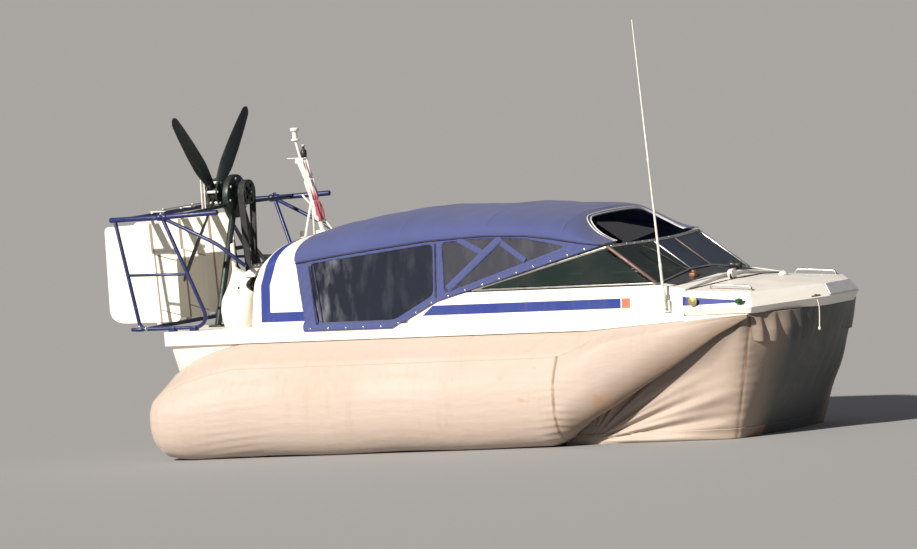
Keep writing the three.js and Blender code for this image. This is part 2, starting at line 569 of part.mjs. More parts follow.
function makePropeller() {
  const table = [
    // distance from the hub's centre, chord, thickness, pitch angle in degrees
    [60, 54, 40, 42], [150, 84, 34, 40], [330, 128, 22, 30], [560, 128, 15, 22], [780, 108, 11, 17],
    [915, 84, 8, 14], [PROP_RADIUS, 40, 5, 13],
  ];
  const section = [[-0.5, 0], [-0.3, 0.42], [0, 0.5], [0.3, 0.3], [0.5, 0], [0.3, -0.3], [0, -0.42], [-0.3, -0.35]];
  const blade = loft(table.map(([reach, chord, thick, pitch]) => section.map(([along, up]) => {
    const angle = THREE.MathUtils.degToRad(pitch);
    const [a, u] = [along * chord, up * thick];
    return [a * Math.sin(angle) + u * Math.cos(angle), a * Math.cos(angle) - u * Math.sin(angle), reach];
  })));
  const blades = [45, 135, 225, 315].map((degrees) => blade.clone().rotateX(THREE.MathUtils.degToRad(degrees)));
  const drum = bar([-72, 0, 0], [45, 0, 0], 74, 74, 24);
  const plates = [-72, -42].map((x) => block([x, x + 10], [-126, 126], [-126, 126]));
  const flange = bar([56, 0, 0], [70, 0, 0], 112, 112, 24);
  const boss = bar([-95, 0, 0], [60, 0, 0], 46, 46, 24);
  const bolts = [12, 72, 132, 192, 252, 312].map((degrees) => {
    const angle = THREE.MathUtils.degToRad(degrees);
    const [y, z] = [-98 * Math.cos(angle), 98 * Math.sin(angle)];
    return bar([-40, y, z], [58, y, z], 9, 9, 8);
  });
  const whole = geometryOf(join(blades, drum, plates, flange, boss, bolts)).translate(PROP_X, 0, SHAFT_Z);
  add('propeller', whole, bladeBlack);

  const shaft = bar([PROP_X + 70 + GAP, 0, SHAFT_Z], [BELT_X + 60, 0, SHAFT_Z], 22, 22, 24);
  const pulley = bar([BELT_X - 32, 0, SHAFT_Z], [BELT_X + 32, 0, SHAFT_Z], PROP_PULLEY_RADIUS,
    PROP_PULLEY_RADIUS, 32);
  const holes = [0, 1, 2, 3, 4].map((i) => {
    const angle = (i / 5) * 2 * Math.PI;
    const [y, z] = [62 * Math.cos(angle), SHAFT_Z + 62 * Math.sin(angle)];
    return bar([BELT_X - 40, y, z], [BELT_X + 40, y, z], 20, 20, 12);
  });
  add('propeller_shaft', join(cut(pulley, holes), shaft), bareAluminium);
}

// The belt runs straight between the two pulleys, on their shared tangents.
function makeBelt() {
  const drop = SHAFT_Z - CRANK_Z;
  const spread = Math.asin((PROP_PULLEY_RADIUS - CRANK_PULLEY_RADIUS) / drop);
  const loop = (extra, Kind) => {
    const path = new Kind();
    path.absarc(0, SHAFT_Z, PROP_PULLEY_RADIUS + extra, -spread, Math.PI + spread, false);
    path.absarc(0, CRANK_Z, CRANK_PULLEY_RADIUS + extra, Math.PI + spread, 2 * Math.PI - spread, false);
    path.closePath();
    return path;
  };
  const shape = loop(9, THREE.Shape);
  shape.holes = [loop(0.6, THREE.Path)];
  const belt = new THREE.ExtrudeGeometry(shape, { depth: 56, bevelEnabled: false, curveSegments: 32 });
  belt.rotateX(Math.PI / 2).rotateZ(Math.PI / 2).translate(BELT_X - 28, 0, 0);
  add('drive_belt', belt, rubber);
  const pulley = bar([BELT_X - 32, 0, CRANK_Z], [BELT_X + 32, 0, CRANK_Z], CRANK_PULLEY_RADIUS,
    CRANK_PULLEY_RADIUS, 24);
  const stub = bar([BELT_X + 30, 0, CRANK_Z], [-2140 - GAP, 0, CRANK_Z], 24, 24, 24);
  add('crank_pulley', join(pulley, stub), darkSteel);
}

// Lift fan: blades on a hub inside the cowl's round intake, behind a ring grille.
function makeLiftFan() {
  const x = COWL_AFT_X + 75;
  const hub = bar([x - 30, 0, CRANK_Z], [x + 30, 0, CRANK_Z], 75, 75, 24);
  const stub = bar([x + 29, 0, CRANK_Z], [COWL_AFT_X + 190 - GAP, 0, CRANK_Z], 20, 20, 16);
  const blades = Array.from({ length: 8 }, (_, i) =>
    new THREE.BoxGeometry(8, 78, 190).rotateZ(THREE.MathUtils.degToRad(55)).translate(0, 0, 155)
      .rotateX((i / 8) * 2 * Math.PI).translate(x, 0, CRANK_Z));
  add('lift_fan', join(hub, blades, stub), darkPlastic);

  const wire = 4;
  const rings = [110, 185, 258].map((radius) =>
    new THREE.TorusGeometry(radius, wire, 6, 32).rotateY(Math.PI / 2).translate(COWL_AFT_X - wire, 0, CRANK_Z));
  const rim = cut(bar([COWL_AFT_X - 14, 0, CRANK_Z], [COWL_AFT_X - GAP, 0, CRANK_Z], 276, 276, 32),
    bar([COWL_AFT_X - 20, 0, CRANK_Z], [COWL_AFT_X + 5, 0, CRANK_Z], 256, 256, 32));
  const spokes = [0, 60, 120].map((degrees) => {
    const angle = THREE.MathUtils.degToRad(degrees);
    const [y, z] = [262 * Math.cos(angle), 262 * Math.sin(angle)];
    return bar([COWL_AFT_X - wire * 2, -y, CRANK_Z - z], [COWL_AFT_X - wire * 2, y, CRANK_Z + z], wire, wire, 6);
  });
  add('fan_grille', join(rim, rings, spokes), bareAluminium);
}

// Air scoops: a pear-shaped moulded trunk each side of the engine, its hooded mouth towards the cowl.
function makeScoops() {
  const table = [
    // z, half length in x, half width in y, how far the centre leans forward
    [DECK_Z + GAP, 118, 125, 0], [1120, 138, 145, 0], [1240, 150, 150, 4], [1340, 132, 132, 16], [1430, 100, 112, 40],
    [1500, 88, 96, 66], [1545, 58, 66, 86],
  ];
  const ringCount = 16;
  for (const [name, side] of SIDES) {
    const centre = [-2010, side * 640];
    const rings = table.map(([z, halfX, halfY, lean]) => Array.from({ length: ringCount }, (_, i) => {
      const angle = (i / ringCount) * 2 * Math.PI;
      return [centre[0] + lean + halfX * Math.cos(angle), centre[1] + halfY * Math.sin(angle), z];
    }));
    const mouth = new THREE.CapsuleGeometry(62, 40, 4, 12).rotateZ(Math.PI / 2);
    mouth.scale(1, 1, 1.35).translate(centre[0] + 145, centre[1], 1405);
    const hood = cut(bar([centre[0] + 40, centre[1], 1430], [-1795, centre[1], 1462], 105, 96, 20),
      bar([centre[0] + 30, centre[1], 1424], [-1700, centre[1], 1456], 92, 86, 20),
      block([-2100, -1700], [centre[1] - 200, centre[1] + 200], [1200, 1440]));
    const vent = bar([centre[0] - 70, centre[1], 1380], [centre[0] - 78, centre[1], 1690], 17, 17, 10);
    add(`air_scoop_${name}`, join(cut(loft(rings), mouth), hood, vent), whitePlastic);
  }
}

// Propeller guard: a leaning tube frame each side, and the two beams between them that carry the rudders.
const GUARD_TUBE = 16;
const RAIL_TUBE = 22;
const RAIL = [[-2965, 2024], [-2480, 2034], [-1960, 2056]]; // x, z

function makeGuard() {
  for (const [name, side] of SIDES) {
    const at = (x, z) => [x, side * guardY(z), z];
    const tubes = [
      pipe(RAIL.map(([x, z]) => at(x, z)), RAIL_TUBE),
      pipe([at(-2925, 2020), at(-2800, 1098), at(-2235, 1098), at(-2165, 1180), at(-2480, 2030)], GUARD_TUBE),
      bar(at(-2880, 1098), at(-2780, 1098), GUARD_TUBE),
      bar(at(-2862, 1555), at(-2316, 1548), 12),
      pipe([at(-2480, 2030), at(-1990, 1790), at(-1755, 1600)], GUARD_TUBE),
    ];
    const feet = [-2500, -2300].map((x) =>
      block([x - 30, x + 30], [side * 930 - 30, side * 930 + 30], [DECK_Z + GAP, 1112]));
    add(`guard_side_${name}`, join(tubes, feet), bluePaint);
  }
  const rows = [-RUDDER_SPACING, 0, RUDDER_SPACING];
  const beam = (z, half, thick) => cut(block([RUDDER_X - 30, RUDDER_X + 30], [-half, half], [z, z + thick]),
    rows.map((y) => bar([RUDDER_X, y, z - 5], [RUDDER_X, y, z + thick + 5], 15.5, 15.5, 16)));
  add('rudder_beam_upper', beam(2010, guardY(2025) - RAIL_TUBE - GAP, 30), bluePaint);
  add('rudder_beam_lower', beam(1078, guardY(1098) - GUARD_TUBE - GAP, 30), bluePaint);
}

// Rudders: a hollow-looking aerofoil plate with rounded corners on its stock, with a horn for the tie bar.
const HORN = 105;
const HORN_Z = 2048;

function makeRudders() {
  const [low, high, nose, tail] = [1126, 1958, RUDDER_X + 200, RUDDER_TAIL_X];
  const [small, large] = [45, 120];
  const shape = new THREE.Shape();
  shape.moveTo(nose - small, low).quadraticCurveTo(nose, low, nose, low + small);
  shape.lineTo(nose, high - small).quadraticCurveTo(nose, high, nose - small, high);
  shape.lineTo(tail + small, high - 20).quadraticCurveTo(tail, high - 22, tail, high - 22 - small);
  shape.lineTo(tail, low + large).quadraticCurveTo(tail, low, tail + large * 1.4, low);
  const plate = extruded(shape, 60).rotateX(Math.PI / 2).translate(0, 30, 0);
  const foil = slab([[nose + 1, 0], [nose - 60, 19], [RUDDER_X, 21], [tail + 90, 9], [tail - 1, 3], [tail - 1, -3],
    [tail + 90, -9], [RUDDER_X, -21], [nose - 60, -19]], low - 10, high - low + 20);
  const blade = solid(plate).intersect(solid(foil));
  const stock = bar([RUDDER_X, 0, 1072], [RUDDER_X, 0, HORN_Z + 4], 14, 14, 16);
  const collar = bar([RUDDER_X, 0, 1108 + GAP], [RUDDER_X, 0, low + 4], 24, 24, 16);
  const horn = join(block([RUDDER_X - 22, RUDDER_X + HORN + 18], [-14, 14], [HORN_Z, HORN_Z + 8]),
    bar([RUDDER_X + HORN, 0, HORN_Z], [RUDDER_X + HORN, 0, HORN_Z + 30], 6, 6, 12));
  const rudder = geometryOf(join(blade, stock, collar, horn));
  ['starboard', 'centre', 'port'].forEach((name, i) => {
    add(`rudder_${name}`, rudder.clone().translate(0, (i - 1) * RUDDER_SPACING, 0), rudderWhite);
  });
  const holes = [-1, 0, 1].map((i) => [RUDDER_X + HORN, i * RUDDER_SPACING]).map(([x, y]) =>
    bar([x, y, HORN_Z], [x, y, HORN_Z + 40], 6.6, 6.6, 12));
  const barX = RUDDER_X + HORN;
  const tie = block([barX - 14, barX + 14], [-RUDDER_SPACING - 20, RUDDER_SPACING + 20], [HORN_Z + 14, HORN_Z + 22]);
  add('rudder_tie_bar', cut(tie, holes), bareAluminium);
}

// Mast: a raked tube on the cowl with three struts, a cross plate, a horn and an all-round light.
function makeMast() {
  const foot = [-1510, 0, 1806];
  const head = [-1738, 0, 2655];
  const at = (share) => foot.map((value, k) => mix(value, head[k], share));
  const tubes = [
    bar(foot, at(0.72), 21), bar(at(0.72), at(0.9), 13),
    bar([-1640, -90, 1735], at(0.33), 10), bar([-1640, 90, 1735], at(0.33), 10), bar([-1440, 60, 1790], at(0.2), 10),
  ];
  const feet = [[-1510, 0, 48, 1810], [-1640, -90, 24, 1768], [-1640, 90, 24, 1768], [-1440, 60, 24, 1806]];
  const pads = feet.map(([x, y, half, top]) => block([x - half, x + half], [y - half, y + half], [top - 60, top]));
  const [plateX, , plateZ] = at(0.72);
  const plate = block([plateX - 120, plateX + 60], [-45, 45], [plateZ, plateZ + 8]);
  const hornBody = bar([plateX + 28, 0, plateZ + 6], [plateX + 28, 0, plateZ + 78], 26, 20, 12);
  const [lightX, , lightZ] = at(0.9);
  const light = [[34, 0], [34, 12], [24, 14], [24, 78], [36, 80], [36, 104], [18, 112]];
  const lamp = new THREE.LatheGeometry([[0, 0], ...light, [0, 112]].map((p) => new THREE.Vector2(...p)), 16);
  lamp.rotateX(Math.PI / 2).translate(lightX, 0, lightZ - 4);
  add('mast', cut(join(tubes, pads, plate, hornBody, lamp), lifted(cowlShape())), whitePlastic);
}

// Whip antenna on a lay-down mount at the starboard side.
const ANTENNA = { x: 2112, y: -972, z: 1122, height: 2387, lean: 128 };

function makeAntenna() {
  const { x, y, z, height, lean } = ANTENNA;
  const face = -(COAMING_FACE + GAP);
  const mount = join(block([x - 32, x + 32], [y + 16, face + SIDE_LEAN * (z - 45 - DECK_Z)], [z - 45, z + 55]),
    bar([x, y + 20, z], [x, y - 16, z], 8, 8, 16), bar([x, y - 13, z], [x, y - 18, z], 14, 14, 16));
  add('antenna_mount', mount, whitePlastic);
  const eye = cut(bar([x, y + 12, z], [x, y - 12, z], 19, 19, 16), bar([x, y + 20, z], [x, y - 20, z], 8.8, 8.8, 16));
  const tip = [x - lean, y, z + height];
  const neck = [x - lean * 0.01, y, z + height * 0.01 - 6];
  const whip = join(eye, bar(neck, [mix(x, tip[0], 0.3), y, mix(z, tip[2], 0.3)], 15, 11, 10),
    bar([mix(x, tip[0], 0.295), y, mix(z, tip[2], 0.295)], tip, 11, 4.5, 10));
  add('antenna_whip', whip, whitePlastic);
}

function makeGrabRails() {
  for (const [name, side] of SIDES) {
    const y = side * 800;
    const rail = pipe([[2455, y, 1236], [2465, y, 1300], [2820, y, 1282], [2832, y, 1200]], 11);
    add(`grab_rail_${name}`, cut(rail, lifted(foredeckShape())), whitePlastic);
  }
}

makeHull();
makeMainDeck();
makeCoamings();
makeTrunk();
makeForedeck();
makeRearCowl();
makeSideBags();
makeSternBag();
makeBowCurtain();
makeBowFlap();
makeCanopy();
makeCurtains();
makeWindshield();
makeCabin();
makeEngine();
makeTower();
makePropeller();
makeBelt();
makeLiftFan();
makeScoops();
makeGuard();
makeRudders();
makeMast();
makeAntenna();
makeGrabRails();

export default craft;
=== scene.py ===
import math
import bmesh
import bpy
import numpy as np
from mathutils import Matrix, Vector
from mathutils.geometry import delaunay_2d_cdt


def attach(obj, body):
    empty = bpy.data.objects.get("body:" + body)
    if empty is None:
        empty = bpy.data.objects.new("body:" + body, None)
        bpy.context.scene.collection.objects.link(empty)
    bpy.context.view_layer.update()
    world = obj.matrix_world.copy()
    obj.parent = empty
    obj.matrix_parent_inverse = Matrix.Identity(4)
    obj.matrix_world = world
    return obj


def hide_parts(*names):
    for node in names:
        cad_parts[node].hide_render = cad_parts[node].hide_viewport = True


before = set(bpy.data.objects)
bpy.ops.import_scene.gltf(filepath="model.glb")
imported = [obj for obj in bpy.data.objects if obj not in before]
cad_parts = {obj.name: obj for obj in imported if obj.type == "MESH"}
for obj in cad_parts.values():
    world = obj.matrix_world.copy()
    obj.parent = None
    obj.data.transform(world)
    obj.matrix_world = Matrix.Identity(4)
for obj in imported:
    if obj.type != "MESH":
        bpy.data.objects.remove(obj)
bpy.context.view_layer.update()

# Camera. The photograph was taken from far off the starboard bow through a long lens, a few degrees above the deck.
# The craft was running bow up, so its level lines rise to the right by the roll.
PHOTO_AZIMUTH = math.radians(27.0)
PHOTO_ELEVATION = math.radians(3.3)
PHOTO_ROLL = math.radians(3.9)
PHOTO_WIDTH = 917  # pixels
PIXELS_PER_METRE = 120.0
CAMERA_DISTANCE = 200.0
AIM = Vector((-0.272, 0.0, 1.394))
SENSOR = 36.0  # millimetres


def photo_camera():
    """Looks along minus the back vector of the azimuth and elevation, its right and up vectors turned by the roll."""
    sin_a, cos_a = math.sin(PHOTO_AZIMUTH), math.cos(PHOTO_AZIMUTH)
    sin_e, cos_e = math.sin(PHOTO_ELEVATION), math.cos(PHOTO_ELEVATION)
    right = Vector((cos_a, sin_a, 0.0))
    up = Vector((-sin_e * sin_a, sin_e * cos_a, cos_e))
    back = Vector((sin_a * cos_e, -cos_a * cos_e, sin_e))
    rolled_right = right * math.cos(PHOTO_ROLL) - up * math.sin(PHOTO_ROLL)
    rolled_up = right * math.sin(PHOTO_ROLL) + up * math.cos(PHOTO_ROLL)
    data = bpy.data.cameras.new("photo_camera")
    data.sensor_width = SENSOR
    data.lens = SENSOR * CAMERA_DISTANCE * PIXELS_PER_METRE / PHOTO_WIDTH
    data.clip_end = 1500.0
    camera = bpy.data.objects.new("photo_camera", data)
    bpy.context.collection.objects.link(camera)
    camera.matrix_world = Matrix.Translation(AIM + back * CAMERA_DISTANCE) @ Matrix(
        (rolled_right, rolled_up, back)).transposed().to_4x4()
    bpy.context.scene.camera = camera


photo_camera()

# Studio. A pale floor, an even sky, and one warm key lamp from starboard and a little aft, where the photograph's sun
# stood, so that the bow's front falls into shade as it does there.
KEY_FROM = Vector((-0.24, -0.81, 0.52))
KEY_STRENGTH = 5.8
KEY_ANGLE = math.radians(1.5)
KEY_COLOR = (1.0, 0.93, 0.83)
SKY_COLOR = (0.92, 0.92, 1.0, 1.0)
SKY_STRENGTH = 0.19
FLOOR_COLOR = (0.34, 0.345, 0.355, 1.0)
FLOOR_HALF = 500.0


def studio():
    """One sun lamp along KEY_FROM, a plain sky colour, and a square floor at the ground."""
    scene = bpy.context.scene
    scene.view_settings.view_transform = "Standard"
    sun = bpy.data.lights.new("key", "SUN")
    sun.energy = KEY_STRENGTH
    sun.angle = KEY_ANGLE
    sun.color = KEY_COLOR
    key = bpy.data.objects.new("key", sun)
    bpy.context.collection.objects.link(key)
    key.rotation_euler = KEY_FROM.to_track_quat("Z", "Y").to_euler()
    world = bpy.data.worlds.new("sky")
    world.use_nodes = True
    background = world.node_tree.nodes["Background"]
    background.inputs["Color"].default_value = SKY_COLOR
    background.inputs["Strength"].default_value = SKY_STRENGTH
    scene.world = world
    mesh = bpy.data.meshes.new("floor")
    corners = [(x * FLOOR_HALF, y * FLOOR_HALF, 0.0) for x, y in ((-1, -1), (1, -1), (1, 1), (-1, 1))]
    mesh.from_pydata(corners, [], [(0, 1, 2, 3)])
    floor = bpy.data.objects.new("floor", mesh)
    bpy.context.collection.objects.link(floor)
    paint = bpy.data.materials.new("floor_paint")
    paint.use_nodes = True
    shader = paint.node_tree.nodes["Principled BSDF"]
    shader.inputs["Base Color"].default_value = FLOOR_COLOR
    shader.inputs["Roughness"].default_value = 0.9
    mesh.materials.append(paint)


studio()

# Hull, decks and trunk. Glass-fibre mouldings in white gelcoat, rolled edges, a little chalky and dirty with age.
# They keep their CAD solids, with their edges rounded and the blue side stripe painted on.
GELCOAT = (0.86, 0.835, 0.78)
STRIPE_BLUE = (0.028, 0.048, 0.235)
STRIPE_LOW_Z = 1.122
STRIPE_HIGH_Z = 1.203
STRIPE_AFT_X = -0.16
STRIPE_TIP_X = 2.84
STRIPE_TAPER_X = 2.20
STRIPE_BREAK = (1.681, 2.252)  # x between which the side is bare but for a blank red square
SQUARE_X = (1.690, 1.768)
SQUARE_RED = (0.62, 0.17, 0.10)
TRUNK_DARK = (0.040, 0.044, 0.052)
EDGE_ROUND = 0.007


class Signal:
    """An output socket in a formula: each sign between it and another, or a number, adds a maths node."""

    def __init__(self, graph, socket):
        self.graph, self.socket = graph, socket

    def __add__(self, other):
        return self.graph.math("ADD", self, other)

    def __sub__(self, other):
        return self.graph.math("SUBTRACT", self, other)

    def __rsub__(self, other):
        return self.graph.math("SUBTRACT", other, self)

    def __mul__(self, other):
        return self.graph.math("MULTIPLY", self, other)

    def __truediv__(self, other):
        return self.graph.math("DIVIDE", self, other)

    def __gt__(self, other):
        return self.graph.math("GREATER_THAN", self, other)

    def __lt__(self, other):
        return self.graph.math("LESS_THAN", self, other)

    def __abs__(self):
        return self.graph.math("ABSOLUTE", self)


def rgba(color):
    """A plain colour with its alpha, or a signal as it is."""
    return (*color, 1.0) if isinstance(color, tuple) else color


class Graph:
    """A node tree under construction. Most methods add a node and give back the signal that comes out of it."""

    def __init__(self, tree):
        self.tree = tree

    def node(self, kind, **settings):
        node = self.tree.nodes.new(kind)
        for key, value in settings.items():
            setattr(node, key, value)
        return node

    def feed(self, socket, value):
        """Wires a signal or an output into a socket, or sets the socket to a plain value."""
        value = value.socket if isinstance(value, Signal) else value
        if isinstance(value, bpy.types.NodeSocket):
            self.tree.links.new(value, socket)
        else:
            socket.default_value = value

    def math(self, operation, *values, clamp=False):
        node = self.node("ShaderNodeMath", operation=operation, use_clamp=clamp)
        for socket, value in zip(node.inputs, values):
            self.feed(socket, value)
        return Signal(self, node.outputs[0])

    def place(self):
        return self.node("ShaderNodeTexCoord").outputs["Object"]

    def axes(self):
        """The three Object coordinates."""
        node = self.node("ShaderNodeSeparateXYZ")
        self.feed(node.inputs[0], self.place())
        return [Signal(self, output) for output in node.outputs]

    def ramp(self, value, start, end, low=0.0, high=1.0):
        """From low at start to high at end, and flat beyond them. It runs downhill where end lies before start."""
        node = self.node("ShaderNodeMapRange")
        for key, given in (("Value", value), ("From Min", start), ("From Max", end), ("To Min", low), ("To Max", high)):
            self.feed(node.inputs[key], given)
        return Signal(self, node.outputs[0])

    def between(self, value, low, high, soft=0.001):
        """1 where value lies between low and high, with soft edges."""
        rise = self.ramp(value, low - soft, low + soft)
        return self.math("SUBTRACT", rise, self.ramp(value, high - soft, high + soft), clamp=True)

    def noise(self, scale, detail=3.0, stretch=None):
        """Noise on the Object coordinates, which stretch scales along each axis."""
        source = self.place()
        if stretch:
            mapping = self.node("ShaderNodeMapping")
            self.feed(mapping.inputs["Vector"], source)
            self.feed(mapping.inputs["Scale"], stretch)
            source = mapping.outputs[0]
        node = self.node("ShaderNodeTexNoise")
        for key, value in (("Vector", source), ("Scale", scale), ("Detail", detail)):
            self.feed(node.inputs[key], value)
        return Signal(self, node.outputs["Fac"])

    def mix(self, share, first, second):
        """A colour between two colours."""
        node = self.node("ShaderNodeMix", data_type="RGBA")
        for slot, value in ((0, share), (6, rgba(first)), (7, rgba(second))):
            self.feed(node.inputs[slot], value)
        return Signal(self, node.outputs[2])


class Paint(Graph):
    """A material under construction, on its Principled shader."""

    def __init__(self, name, color, roughness, metallic=0.0):
        self.material = bpy.data.materials.new(name)
        self.material.use_nodes = True
        super().__init__(self.material.node_tree)
        self.shader = self.tree.nodes["Principled BSDF"]
        self.set(Base_Color=rgba(color), Roughness=roughness, Metallic=metallic)

    def set(self, **values):
        """Feeds the shader's own sockets, named with underscores for spaces."""
        for key, value in values.items():
            self.feed(self.shader.inputs[key.replace("_", " ")], value)

    def mottle(self, scale, low, high):
        """Roughness that varies in patches between low and high."""
        self.set(Roughness=self.ramp(self.noise(scale), 0.3, 0.7, low, high))

    def bump(self, height, strength, distance):
        node = self.node("ShaderNodeBump")
        for key, value in (("Strength", strength), ("Distance", distance), ("Height", height)):
            self.feed(node.inputs[key], value)
        self.set(Normal=node.outputs[0])


def weathering_group():
    """Takes a colour and gives it back with dirt that runs down it in streaks, here and there."""
    group = bpy.data.node_groups.new("weathering", "ShaderNodeTree")
    for name, kind, value in (("Color", "NodeSocketColor", (1, 1, 1, 1)),
                              ("Dirt Color", "NodeSocketColor", (0.3, 0.2, 0.1, 1)), ("Dirt", "NodeSocketFloat", 0.3)):
        group.interface.new_socket(name, in_out="INPUT", socket_type=kind).default_value = value
    group.interface.new_socket("Color", in_out="OUTPUT", socket_type="NodeSocketColor")
    graph = Graph(group)
    given, taken = graph.node("NodeGroupInput").outputs, graph.node("NodeGroupOutput").inputs
    streaks = graph.ramp(graph.noise(2.2, 4.0, stretch=(9.0, 9.0, 0.8)), 0.5, 0.78)
    patches = graph.ramp(graph.noise(2.6, 5.0), 0.35, 0.75)
    graph.feed(taken["Color"], graph.mix(streaks * patches * given["Dirt"], given["Color"], given["Dirt Color"]))
    return group


WEATHERING = weathering_group()


def weathered(paint, color, dirt=0.35, dirt_color=(0.33, 0.24, 0.14)):
    """Runs a colour through the weathering group."""
    node = paint.node("ShaderNodeGroup", node_tree=WEATHERING)
    for key, value in (("Color", rgba(color)), ("Dirt", dirt), ("Dirt Color", rgba(dirt_color))):
        paint.feed(node.inputs[key], value)
    return node.outputs["Color"]


def gelcoat_paint(name="white_gelcoat", dark_top=False):
    """White, with the stripe on the sides between a low and a high z, tapering to its tip in x, broken by a bare
    stretch and a blank red square. The roughness varies in patches. With dark_top, the trunk's top before the glass is
    dark."""
    paint = Paint(name, GELCOAT, 0.32)
    x, y, z = paint.axes()
    low = paint.ramp(x, STRIPE_TAPER_X, STRIPE_TIP_X, STRIPE_LOW_Z, 1.138)
    high = paint.ramp(x, STRIPE_TAPER_X, STRIPE_TIP_X, STRIPE_HIGH_Z, 1.146)
    above = z > low
    below = z < high
    start = x - (z - STRIPE_LOW_Z) * 1.2 > STRIPE_AFT_X
    gap = 1.0 - paint.between(x, *STRIPE_BREAK)
    gap = gap * (x < STRIPE_TIP_X)
    outside = abs(y) > 0.5
    stripe = above * below * start * outside * gap
    color = paint.mix(stripe, GELCOAT, STRIPE_BLUE)
    square = paint.between(x, *SQUARE_X) * paint.between(z, STRIPE_LOW_Z, STRIPE_HIGH_Z)
    color = paint.mix(square * outside, color, SQUARE_RED)
    if dark_top:
        across = abs(y)
        reach = x + across * 0.12
        top = paint.ramp(reach, 2.258, 2.254) * paint.ramp(across, 0.800, 0.796)
        color = paint.mix(top * (z > 1.25), color, TRUNK_DARK)
    paint.set(Base_Color=weathered(paint, color, 0.16))
    paint.mottle(6.0, 0.30, 0.50)
    paint.bump(paint.noise(2.2, 2.0), 0.08, 0.02)
    paint.set(Specular_IOR_Level=0.22)
    return paint.material


def soften(thing, width):
    """Joins a CAD node's loose triangles and rounds its edges, as live modifiers on the untouched mesh."""
    weld = thing.modifiers.new("weld", "WELD")
    weld.merge_threshold = 0.0001
    bevel = thing.modifiers.new("bevel", "BEVEL")
    bevel.width, bevel.segments = width, 3
    bevel.limit_method, bevel.angle_limit = "ANGLE", math.radians(24)
    bevel.use_clamp_overlap = True


def finish_node(name, material, width=None):
    """Gives a CAD node its material, and rounded edges where a width is given."""
    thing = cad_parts[name]
    if width:
        soften(thing, width)
    for slot in thing.material_slots:
        slot.material = material
    if not thing.material_slots:
        thing.data.materials.append(material)


WHITE = gelcoat_paint()
for node in ("hull", "main_deck", "coaming_starboard", "coaming_port", "foredeck"):
    finish_node(node, WHITE, EDGE_ROUND)
finish_node("cabin_trunk", gelcoat_paint("trunk_gelcoat", dark_top=True), EDGE_ROUND)

# Rear cowl. One rounded white moulding behind the cabin, hollow where the lift fan draws its air, with a broad blue
# band that follows its aft rim over the top and turns forward along the deck.
COWL_AFT_X = -1.770
COWL_FORE_X = -1.190
COWL_BASE_Z = 1.0705
ARCH_POWER = 2.5  # of the superellipse across cowl and roof
FAN_Z = 1.350
FAN_HOLE = 0.262
COWL_ROWS = np.array([
    # x, half width at the shoulder, shoulder z, crown z
    (COWL_AFT_X, 0.850, 1.290, 1.440), (-1.745, 0.862, 1.400, 1.560), (-1.690, 0.870, 1.490, 1.680),
    (-1.600, 0.874, 1.550, 1.760), (-1.480, 0.876, 1.580, 1.796), (COWL_FORE_X, 0.876, 1.590, 1.799),
])


def new_piece(name, points, faces, material, body="craft", slot=None, uv=None, smooth=True):
    """A mesh object from an (n, 3) array and quads or triangles, with faces outward, that rides on a body."""
    mesh = bpy.data.meshes.new(name)
    mesh.from_pydata(np.asarray(points, float).reshape(-1, 3).tolist(), [], np.asarray(faces).tolist())
    if uv is not None:
        layer = mesh.uv_layers.new(name="cloth")
        corner = np.empty(len(mesh.loops), dtype=np.int32)
        mesh.loops.foreach_get("vertex_index", corner)
        layer.data.foreach_set("uv", np.asarray(uv, np.float32).reshape(-1, 2)[corner].ravel())
    mesh.polygons.foreach_set("use_smooth", np.full(len(mesh.polygons), smooth))
    mesh.materials.append(material)
    piece = bpy.data.objects.new(name, mesh)
    bpy.context.collection.objects.link(piece)
    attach(piece, body)
    return piece


def grid_faces(rows, columns, closed_rows=False, closed_columns=False, flip=False):
    """Quads of a grid of rows by columns of points, wrapped round in either direction where it is closed."""
    r, c = np.meshgrid(np.arange(rows - (not closed_rows)), np.arange(columns - (not closed_columns)), indexing="ij")
    down, along = (r + 1) % rows, (c + 1) % columns
    quads = np.stack([r * columns + c, down * columns + c, down * columns + along, r * columns + along], -1)
    return (quads[..., ::-1] if flip else quads).reshape(-1, 4)


def face_out(piece):
    """Closes seams and poles, and turns a closed shell's faces outwards."""
    shell = bmesh.new()
    shell.from_mesh(piece.data)
    bmesh.ops.remove_doubles(shell, verts=shell.verts, dist=1e-5)
    bmesh.ops.recalc_face_normals(shell, faces=shell.faces)
    shell.to_mesh(piece.data)
    shell.free()
    return piece


def close_ends(piece, loops):
    """Caps each loop of vertex numbers with one flat face, cut into triangles."""
    shell = bmesh.new()
    shell.from_mesh(piece.data)
    shell.verts.ensure_lookup_table()
    caps = [shell.faces.new([shell.verts[i] for i in loop]) for loop in loops]
    bmesh.ops.triangulate(shell, faces=caps)
    shell.to_mesh(piece.data)
    shell.free()
    return piece


def blurred(values, width):
    """A running mean along the first axis, its ends held, which rounds the corners of straight stretches."""
    reach = int(width // 2)
    if reach < 1:
        return values
    kernel = np.hanning(2 * reach + 3)[1:-1]
    padded = np.concatenate([np.repeat(values[:1], reach, 0), values, np.repeat(values[-1:], reach, 0)])
    flat = padded.reshape(len(padded), -1)
    mixed = np.stack([np.convolve(column, kernel / kernel.sum(), "valid") for column in flat.T], -1)
    return mixed.reshape(values.shape)


def thicken(piece, thickness, offset=-1.0):
    """Gives a sheet its thickness, inwards, or outwards with an offset of 1."""
    wall = piece.modifiers.new("wall", "SOLIDIFY")
    wall.thickness, wall.offset = thickness, offset


def columns_at(table, key, width=1):
    """A table's other columns, interpolated at each value of its first one and rounded by a running mean."""
    return [blurred(np.interp(key, table[:, 0], column), width) for column in table.T[1:]]


def powered(value, exponent):
    """A power that keeps the sign, as a superellipse needs."""
    return np.sign(value) * np.abs(value) ** exponent


